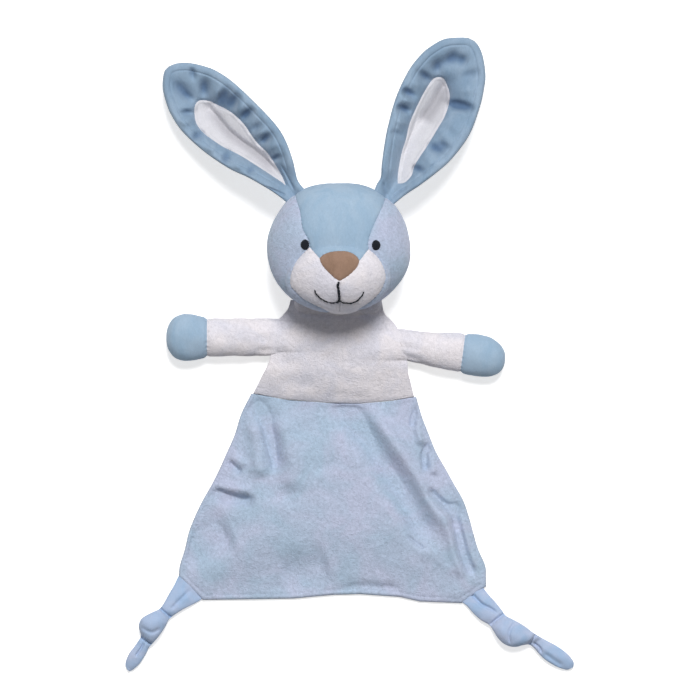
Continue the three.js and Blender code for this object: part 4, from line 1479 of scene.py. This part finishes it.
print("the crown rises to", max(row[1] for row in CHEST_DEPTHS), "mm")

# %% [markdown]
# Both layers are laid and dressed, and the front also stands for the wadding inside.

# %% Sew the chest
CHEST_FRONT_GRID = (150, 110)
CHEST_BACK_GRID = (90, 60)
chest_front = layer("chest_front", CHEST_FRONT_GRID, chest_surface(True))
chest_back = layer("chest_back", CHEST_BACK_GRID, chest_surface(False), -CLOTH)
dress(chest_front, plush_white, "plush_white", "chest_front", "chest_wadding")
dress(chest_back, plush_white, "plush_white", "chest_back")
for piece in (chest_front, chest_back):
    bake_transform(piece)
    print(piece.name, len(piece.data.polygons), "faces")

# %% [markdown]
# ## Neck
# Between the head and the chest the stuffing makes a soft roll. It is mostly hidden, and it
# fills the gap when the head nods or turns.

# %% The neck's roll
NECK_PLACE = np.array([0, 31, 11])
NECK_HALF_SIZES = np.array([24, 9, 6.5])
NECK_POWER = 0.9
NECK_BUMPS = [(0.4, 7, 41)]
NECK_LEVEL = 6 if FINE else 5
bpy.ops.mesh.primitive_ico_sphere_add(subdivisions=NECK_LEVEL, radius=MM)
neck = named("neck_roll")
ways = points_of(neck)
roll = NECK_PLACE + np.sign(ways) * np.abs(ways) ** NECK_POWER * NECK_HALF_SIZES
roll += ways * bumps(roll, NECK_BUMPS)[:, None]
move_points(neck, roll)
face_outwards(neck)
dress(neck, plush_white, "plush_white", "neck_wadding")
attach(neck, "neck")
print(neck.name, len(neck.data.polygons), "faces")

# %% [markdown]
# ## Arms
# An arm is a stuffed tube: a white sleeve and a blue paw, joined by a seam that pulls in all
# round. It is pinched where it is sewn into the armhole, and its paw ends in a round cap. A tube
# that is lofted along a line keeps its seams where they belong. One long tube is shaped and then
# cut at the paw seam.

# %% The arms' form
ARM_WIDTH = 21.3
ARM_DEPTH = 18
ARM_INSIDE_SHARE = 0.1
CAP_POWER = 2.3
RING_CROWD_SHARE = 0.7
PAW_SEAM_WIDTH = 0.9
PAW_SEAM_SHARE = 0.085
PAW_STITCHES = 20
PAW_STITCH_SHARE = 0.25
GATHERS = 9
GATHERS_SHARE = 0.04
GATHERS_PHASE = 1
GATHERS_FROM = 1
GATHERS_WIDTH = 5
ARM_TURN_SHARE = 0.3
ARM_LIFT_SHARE = 0.2
ARM_SINK = 0.4
ARM_BUMPS = [(0.35, 8, 51), (0.1, 3, 52)]
ARMS = {
    "left": {"side": -1, "length": 56.3, "droop": 0, "seam": 0.603, "cap": 0.8, "paw_drop": 0,
             "shares": [[-0.1, 0.97, 0.5], [0, 0.97, 0.6], [0.08, 0.96, 0.76], [0.18, 0.96, 0.9],
                        [0.32, 0.97, 1], [0.48, 0.97, 1], [0.58, 0.98, 1], [0.64, 1.06, 1.04],
                        [0.72, 1.16, 1.09], [0.8, 1.21, 1.12], [1, 1.2, 1.1]]},
    "right": {"side": 1, "length": 54.7, "droop": 7.5, "seam": 0.572, "cap": 0.76,
              "paw_drop": 1.2,
              "shares": [[-0.1, 0.82, 0.5], [0, 0.85, 0.6], [0.08, 0.86, 0.76],
                         [0.18, 0.88, 0.9], [0.32, 0.93, 1], [0.48, 0.99, 1], [0.56, 1, 1],
                         [0.62, 1.03, 1.02], [0.68, 1.05, 1.04], [0.76, 1.05, 1.04],
                         [1, 1.02, 1]]},
}


def arm_frame(side):
    """The arm's fold line and the ways along the arm and across it."""
    arm = ARMS[side]
    line = np.array(joints[f"arm_{side}_fold"]["axis"])
    line = line if line[1] > 0 else -line
    droop = math.radians(arm["droop"])
    way = np.array([arm["side"] * math.cos(droop), -math.sin(droop), 0])
    square = np.array([-arm["side"] * way[1], arm["side"] * way[0], 0])
    return joint_place(f"arm_{side}_fold"), line, way, square


def shape_arm(points, side):
    """Turns a tube of radius one along Z, from 0 to 1, into the arm."""
    arm = ARMS[side]
    middle, line, way, square = arm_frame(side)
    run = points[:, 2]
    beyond = 1 - RING_CROWD_SHARE
    crowded = RING_CROWD_SHARE + beyond * np.sin(
        math.pi / 2 * np.clip((run - RING_CROWD_SHARE) / beyond, 0, 1))
    place = np.where(run > RING_CROWD_SHARE, crowded, run)
    place = place * (1 + ARM_INSIDE_SHARE) - ARM_INSIDE_SHARE
    cap = np.clip((place - arm["cap"]) / (1 - arm["cap"]), 0, 1)
    cap = np.clip(1 - cap ** CAP_POWER, 0, 1) ** (1 / CAP_POWER)
    radius = np.hypot(points[:, 0], points[:, 1])
    turn = np.arctan2(points[:, 1], points[:, 0])
    pulled = hump((place - arm["seam"]) * arm["length"], PAW_SEAM_WIDTH)
    stitches = 1 + PAW_STITCH_SHARE * np.cos(turn * PAW_STITCHES)
    bulge = 1 - PAW_SEAM_SHARE * pulled * stitches
    wave = np.cos(turn * GATHERS + GATHERS_PHASE)
    gathers = GATHERS_SHARE * wave * hump(place * arm["length"] - GATHERS_FROM, GATHERS_WIDTH)
    wide, deep = (cap * from_table(arm["shares"], place, column) * size / 2
                  for column, size in ((1, ARM_WIDTH), (2, ARM_DEPTH)))
    lean = smoothstep(place, 0, ARM_TURN_SHARE)[:, None]
    out = line * (1 - lean) + square * lean
    rest = from_table(arm["shares"], place, 2) * ARM_DEPTH / 2 - ARM_SINK
    lift = SIDE_SEAM_LIFT + (rest - SIDE_SEAM_LIFT) * smoothstep(place, 0, ARM_LIFT_SHARE)
    core = middle + way * (place * arm["length"])[:, None]
    core[:, 2] = lift
    core[:, 1] -= arm["paw_drop"] * smoothstep(place, arm["cap"], 1)
    spoke = out * (wide * np.cos(turn))[:, None]
    spoke[:, 2] = deep * np.sin(turn)
    spoke *= (radius * (bulge + gathers))[:, None]
    shaped = core + spoke
    normal = spoke / (np.linalg.norm(spoke, axis=1)[:, None] + KEEPS_FROM_ZERO)
    shaped += normal * bumps(shaped, ARM_BUMPS)[:, None]
    shaped[:, 2] = np.maximum(shaped[:, 2], 0)
    return shaped


print("arms", ARMS["left"]["length"], "and", ARMS["right"]["length"], "mm long")

# %% [markdown]
# The tube is copied, and each copy is cut at the paw's seam and closed there, so that the sleeve
# and the paw are two stuffed pieces. The paw rides on the arm.

# %% Sew the arms
ARM_GRID = (120, 140)
for side in ("left", "right"):
    arm = ARMS[side]
    middle, line, way, square = arm_frame(side)
    sleeve = lofted(f"sleeve_{side}", ARM_GRID)
    move_points(sleeve, shape_arm(points_of(sleeve), side))
    paw = twin(sleeve, f"paw_{side}")
    seam = middle + way * arm["seam"] * arm["length"]
    halve(sleeve, seam, way, fill=True)
    halve(paw, seam, -way, fill=True)
    for piece in (sleeve, paw):
        face_outwards(piece)
        print(piece.name, len(piece.data.polygons), "faces")
    dress(sleeve, plush_white, "plush_white", f"sleeve_{side}", f"arm_filling_{side}")
    dress(paw, velour_blue, "velour_blue", f"paw_{side}")
    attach(paw, f"arm_{side}")
    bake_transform(sleeve)

# %% [markdown]
# ## Skirt
# The skirt is two layers of plush, wide at the hem, with its two lower corners cut off for the
# tails. The back lies flat. The front keeps the soft folds it fell into: long valleys from the
# waist, short dents at the edges, and broad hollows.

# %% The skirt's cut
SKIRT_LENGTH = 110
SKIRT_EDGES = [[-0.06, -45.6, 41.6], [0, -47.6, 43], [0.1, -53.4, 46.2], [0.18, -56.7, 50],
               [0.26, -61, 53.9], [0.34, -64.9, 58.9], [0.42, -69.3, 63.8], [0.5, -74.3, 68.8],
               [0.583, -78.7, 72], [0.66, -82, 74.3], [0.744, -84.2, 77], [0.825, -86.9, 80.9],
               [0.883, -87.5, 81.4], [1, -87.8, 81.4]]
HEM_SHARES = [[-1, 0.883], [-0.84, 1], [-0.55, 0.997], [-0.25, 0.993], [0, 0.975], [0.18, 0.971],
              [0.44, 0.985], [0.57, 1.008], [0.84, 1.016], [1, 0.931]]
WAIST_BEHIND = 22
WAIST_EASE_SHARE = 0.3


def skirt_plan(across, along):
    """Where a share of the skirt's cut lies, seen from above."""
    down = along * np.interp(across, *np.array(HEM_SHARES).T)
    low, high = (from_table(SKIRT_EDGES, down, column) for column in (1, 2))
    x = low + (high - low) * (across + 1) / 2
    waist = waist_line(x) - WAIST_GAP
    level = waist + (-WAIST_BEHIND - waist) * smoothstep(along, 0, WAIST_EASE_SHARE)
    return np.column_stack([x, level - down * SKIRT_LENGTH])


print("flat cut at the hem:", SKIRT_EDGES[-1][2] - SKIRT_EDGES[-1][1], "mm")

# %% [markdown]
# Each fold is a route read off the photograph, with a width, a depth, and how much narrower it is
# on the left hand of its route. Many folds have one steep wall and one that runs out softly. A
# ridge beside a fold is the cloth that the fold pushed up.

# %% The skirt's folds
BILLOW = 5.6
BILLOW_REACH = 38
BILLOW_START_SHARE = 0.3
SKIRT_FRONT_GRID = (240, 190)
SKIRT_BACK_GRID = (120, 90)
LAYER_GAP = 0.15
LOWEST_FRONT = 0.1
EDGE_ROLL = 2.2
EDGE_STEPS = 90
HEM_STEPS = 121
FOLD_FREE_EDGE = (0.5, 6)
FOLD_FREE_WAIST_SHARE = 0.03
SKIRT_BUMPS = [(0.6, 16, 61), (0.16, 4, 62)]
HEM_STITCH_FROM = 2.6
HEM_STITCH_DEPTH = 0.35
HEM_STITCH_WIDTH = 0.8
HEM_STITCH_SHARE = 0.5
FOLDS = [
    ([(248.6, 406.6), (257, 413), (263, 422), (267, 434), (271, 452), (276, 474)], 3.4, 5.4, -0.5),
    ([(268, 428), (276, 452), (281, 480), (279, 508)], 9, 2.8, 0),
    ([(228.6, 460.7), (235, 467), (242.4, 472.8)], 1.5, 2.4, 0.3),
    ([(212, 490), (226, 496), (240, 499), (256, 499)], 2.8, 4.5, 0.3),
    ([(178, 548), (204, 545), (234, 532)], 10, 3.4, 0),
    ([(345, 410), (366, 438), (388, 471), (405, 499), (421, 529), (432, 552)], 8, 6.4, -0.15),
    ([(419, 404), (414.5, 414), (411, 428)], 1.8, 3.9, -0.3),
    ([(432, 440), (425, 450), (423.4, 459), (425, 473)], 1.8, 3.9, -0.3),
    ([(428, 488), (440, 501), (450, 507.5), (462, 505)], 2.6, 4.5, 0.2),
    ([(451, 512), (458, 532), (464, 556), (475, 578)], 3.0, 4.5, 0.2),
    ([(408, 536), (416, 543), (425, 548.6)], 1.1, 1.7, 0),
    ([(336, 592), (360, 588), (384, 589), (404, 592)], 3.2, 2.2, 0),
    ([(280, 574), (304, 568), (330, 562)], 10, 2.8, 0),
    ([(300, 420), (318, 446), (330, 476)], 12, 1.7, 0),
]
RIDGES = [
    ([(250, 420), (256, 438), (259, 462), (260, 480)], 4.5, 4),
    ([(279, 416), (286, 440), (291, 466), (294, 494)], 8, 3.2),
    ([(366, 408), (384, 430), (407, 463), (424, 489), (439, 518), (447, 542)], 5.2, 5),
    ([(443, 508), (450, 532), (456, 556), (466, 580)], 3.2, 3.4),
    ([(464, 514), (469, 534), (474, 556), (480, 572)], 3, 2),
    ([(424, 412), (420, 430), (424, 446)], 3.2, 3),
    ([(441, 448), (434, 460), (434, 476)], 3.2, 2.4),
    ([(212, 484), (232, 488), (252, 490)], 2.6, 2.6),
    ([(226, 452), (238, 460), (248, 466)], 2.4, 1.8),
]


def skirt_edge():
    """The skirt's edge, from the waist down one side, along the hem and up the other side."""
    shares = np.linspace(-1, 1, HEM_STEPS)
    down = np.linspace(0, 1, EDGE_STEPS)
    return np.vstack([skirt_plan(0 * down - 1, down), skirt_plan(shares, 0 * shares + 1),
                      skirt_plan(0 * down + 1, down[::-1])])


def skirt_front_surface(across, along):
    """Lays the front: a rolled edge, a soft billow, the folds, and the stitches along the edge."""
    plan = skirt_plan(across, along)
    from_edge, place, _ = near_route(plan, skirt_edge())
    roll = np.sqrt(np.clip(1 - (1 - np.clip(from_edge / EDGE_ROLL, 0, 1)) ** 2, 0, 1))
    z = FOLD_HALF + LAYER_GAP + (FOLD_HALF - LAYER_GAP) * roll
    z += BILLOW * smoothstep(from_edge, 0, BILLOW_REACH) * smoothstep(along, 0, BILLOW_START_SHARE)
    inner = smoothstep(from_edge, *FOLD_FREE_EDGE) * smoothstep(along, 0, FOLD_FREE_WAIST_SHARE)
    folds = 0
    for route, width, depth, steep in FOLDS:
        folds = folds + valley(plan, from_photo(route), width, depth, steep)
    for route, width, height in RIDGES:
        folds = folds - valley(plan, from_photo(route), width, height)
    z += folds * inner
    z += bumps(np.column_stack([plan, 0 * across]), SKIRT_BUMPS) * inner
    stitches = 1 + HEM_STITCH_SHARE * np.cos(place * 2 * math.pi / STITCH)
    z -= HEM_STITCH_DEPTH * hump(from_edge - HEM_STITCH_FROM, HEM_STITCH_WIDTH) * stitches
    return np.column_stack([plan, np.maximum(z, FOLD_HALF + LOWEST_FRONT)])


def skirt_back_surface(across, along):
    """Lays the back flat, just under the front."""
    plan = skirt_plan(across, along)
    return np.column_stack([plan, FOLD_HALF - LAYER_GAP + 0 * across])


skirt_front = layer("skirt_front", SKIRT_FRONT_GRID, skirt_front_surface)
skirt_back = layer("skirt_back", SKIRT_BACK_GRID, skirt_back_surface)
print("skirt faces:", len(skirt_front.data.polygons), len(skirt_back.data.polygons))

# %% [markdown]
# Both layers get their fabric.

# %% Dress the skirt
dress(skirt_front, plush_blue, "plush_pale_blue", "skirt_front")
dress(skirt_back, plush_blue, "plush_pale_blue", "skirt_back")
for piece in (skirt_front, skirt_back):
    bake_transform(piece)

# %% [markdown]
# ## Tails
# Each lower corner ends in a tail of smooth knit: a leaf that narrows from the corner's seam,
# wraps once round itself in a fat knot, and comes out as a smaller leaf. Pairs of places on its
# two outlines were read off the photograph, from the corner to the tip. The tail is lofted
# through them as a tube with a depth for each pair, and creases are pressed in where the wrap
# meets the leaves.

# %% The tails' form
TAILS = {
    "left": {
        "sides": [((184, 571), (207.5, 594)), ((178.8, 575.8), (202.3, 599)),
                  ((174.2, 585), (193.3, 604.2)), ((168.3, 595), (185, 608.3)),
                  ((164.2, 602.5), (176.7, 613.3)), ((159.6, 608.6), (169.6, 618.8)),
                  ((153.3, 611.7), (166.7, 624.2)), ((146.7, 615), (163.3, 630)),
                  ((141.2, 619), (159.2, 635.8)), ((138.8, 626), (154.2, 641.7)),
                  ((141, 635.8), (149.4, 647)), ((138.3, 640.8), (146.7, 652.5)),
                  ((134.2, 646.7), (143.3, 658.3)), ((129.2, 653.3), (139.2, 664.2)),
                  ((126.2, 660), (134.2, 668.7)), ((125.5, 665), (131.8, 670.4)),
                  ((126.9, 669.2), (129.3, 671.2))],
        "depths": [1.5, 2.2, 4.2, 5.4, 6, 6.4, 10, 11.6, 11.6, 10, 6, 5.8, 5.8, 5.2, 4.2, 3, 1.8],
        "creases": [([(157.5, 606), (160.5, 609), (166, 613.8), (173, 618.5)], 0.8, 2.2),
                    ([(138.5, 634.5), (145, 640), (153, 645)], 0.8, 2.2),
                    ([(141, 627), (152, 632), (162, 627)], 1.1, 1.0),
                    ([(144, 642), (141.7, 647.5), (135, 657)], 0.7, 1.4),
                    ([(190, 590), (180, 600), (170, 610)], 1.0, 1.0)],
    },
    "right": {
        "sides": [((477, 580), (456, 595.5)), ((481.7, 585.8), (460.8, 601.3)),
                  ((488.3, 594.2), (466.7, 605.8)), ((495.8, 602.5), (473.3, 613.3)),
                  ((501.7, 610), (480.8, 620)), ((505.8, 615.5), (489.2, 625)),
                  ((513.3, 619.5), (493.3, 630.8)), ((520, 623), (497.5, 637.5)),
                  ((526.7, 627.5), (503.3, 643.3)), ((532, 631.7), (510, 646.3)),
                  ((536.5, 634.6), (516.7, 646.7)), ((540, 636.7), (523.3, 645)),
                  ((543.2, 638.6), (529.4, 644.6)), ((548.3, 641.3), (534.2, 648.3)),
                  ((556.7, 645.8), (540, 655)), ((565, 651.7), (546.7, 660.8)),
                  ((570.8, 657.5), (556.7, 666.7)), ((573.8, 662.5), (565, 669.5)),
                  ((573.3, 667.3), (568, 669.7))],
        "depths": [1.5, 2.2, 4.4, 5.8, 6.4, 6.6, 10.4, 11.8, 12, 11.4, 9.8, 7.4, 5.6, 5.4, 5.6, 5.4,
                   4.6, 3.4, 2],
        "creases": [([(470.8, 593.3), (481.7, 604.2), (490, 608.3), (498.3, 614.2)], 0.9, 1.9),
                    ([(481.7, 587.5), (490, 595), (497.5, 604)], 0.8, 1.0),
                    ([(505, 613), (497, 619), (489, 626)], 0.8, 2.0),
                    ([(536, 633), (532.5, 640), (528, 646)], 0.8, 2.2),
                    ([(533.3, 642.5), (540, 648.3), (540.8, 653.3)], 0.7, 1.5),
                    ([(544, 653), (554, 660), (563, 666)], 1.4, 1.2),
                    ([(515, 621), (509, 632), (510, 645)], 0.8, 1.2)],
    },
}
TAIL_POWER = 0.85
TAIL_ROW_STEPS = 8
TAIL_TOP = (0.1, 0.5)
TAIL_LOWEST = 0.2
TAIL_BUMPS = [(0.3, 5, 72), (0.14, 2.5, 71)]


def tail_rows(side):
    """Smooth rows of the tail: its middle, the way and half width across it, and its depth."""
    sides = np.array(TAILS[side]["sides"], float)
    first, second = (smooth_route(from_photo(sides[:, k]), TAIL_ROW_STEPS) for k in (0, 1))
    depths = TAILS[side]["depths"]
    table = np.column_stack([np.arange(len(depths)), depths])
    return (first + second) / 2, (second - first) / 2, smooth_route(table, TAIL_ROW_STEPS)[:, 1]


def shape_tail(points, side):
    """Turns a tube of radius one along Z, from 0 to 1, into the tail."""
    middle, half, depths = tail_rows(side)
    row = points[:, 2] * (len(middle) - 1)
    at = np.arange(len(middle))
    core, spoke = (places_at(rows, at, row) for rows in (middle, half))
    deep = np.interp(row, at, depths) / 2
    up = np.sign(points[:, 1]) * np.abs(points[:, 1]) ** TAIL_POWER
    plan = core + spoke * points[:, :1]
    z = np.maximum(deep, FOLD_HALF) + deep * up
    skin = np.column_stack([plan, z])
    top = smoothstep(points[:, 1], *TAIL_TOP)
    for route, width, depth in TAILS[side]["creases"]:
        skin[:, 2] += valley(plan, from_photo(route), width, depth) * top
    skin[:, 2] += bumps(skin, TAIL_BUMPS) * top
    skin[:, 2] = np.maximum(skin[:, 2], TAIL_LOWEST)
    return skin


print("rows of the tails:", [len(TAILS[side]["depths"]) for side in TAILS])

# %% [markdown]
# Each tail is lofted through its rows and dressed. The way that its first leaf runs is found
# from two of its rows.

# %% Knot the tails
TAIL_GRID = (88, 150)
TAIL_WAY_ROWS = (8, 24)
for side in ("left", "right"):
    leaf = lofted(f"tail_{side}", TAIL_GRID)
    move_points(leaf, shape_tail(points_of(leaf), side))
    face_outwards(leaf)
    dress(leaf, knit_blue, "tail_blue", f"tail_{side}")
    start, end = tail_rows(side)[0][list(TAIL_WAY_ROWS)]
    out = np.array([*(end - start), 0])
    out /= np.linalg.norm(out)
    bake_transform(leaf)
    print(leaf.name, len(leaf.data.polygons), "faces")
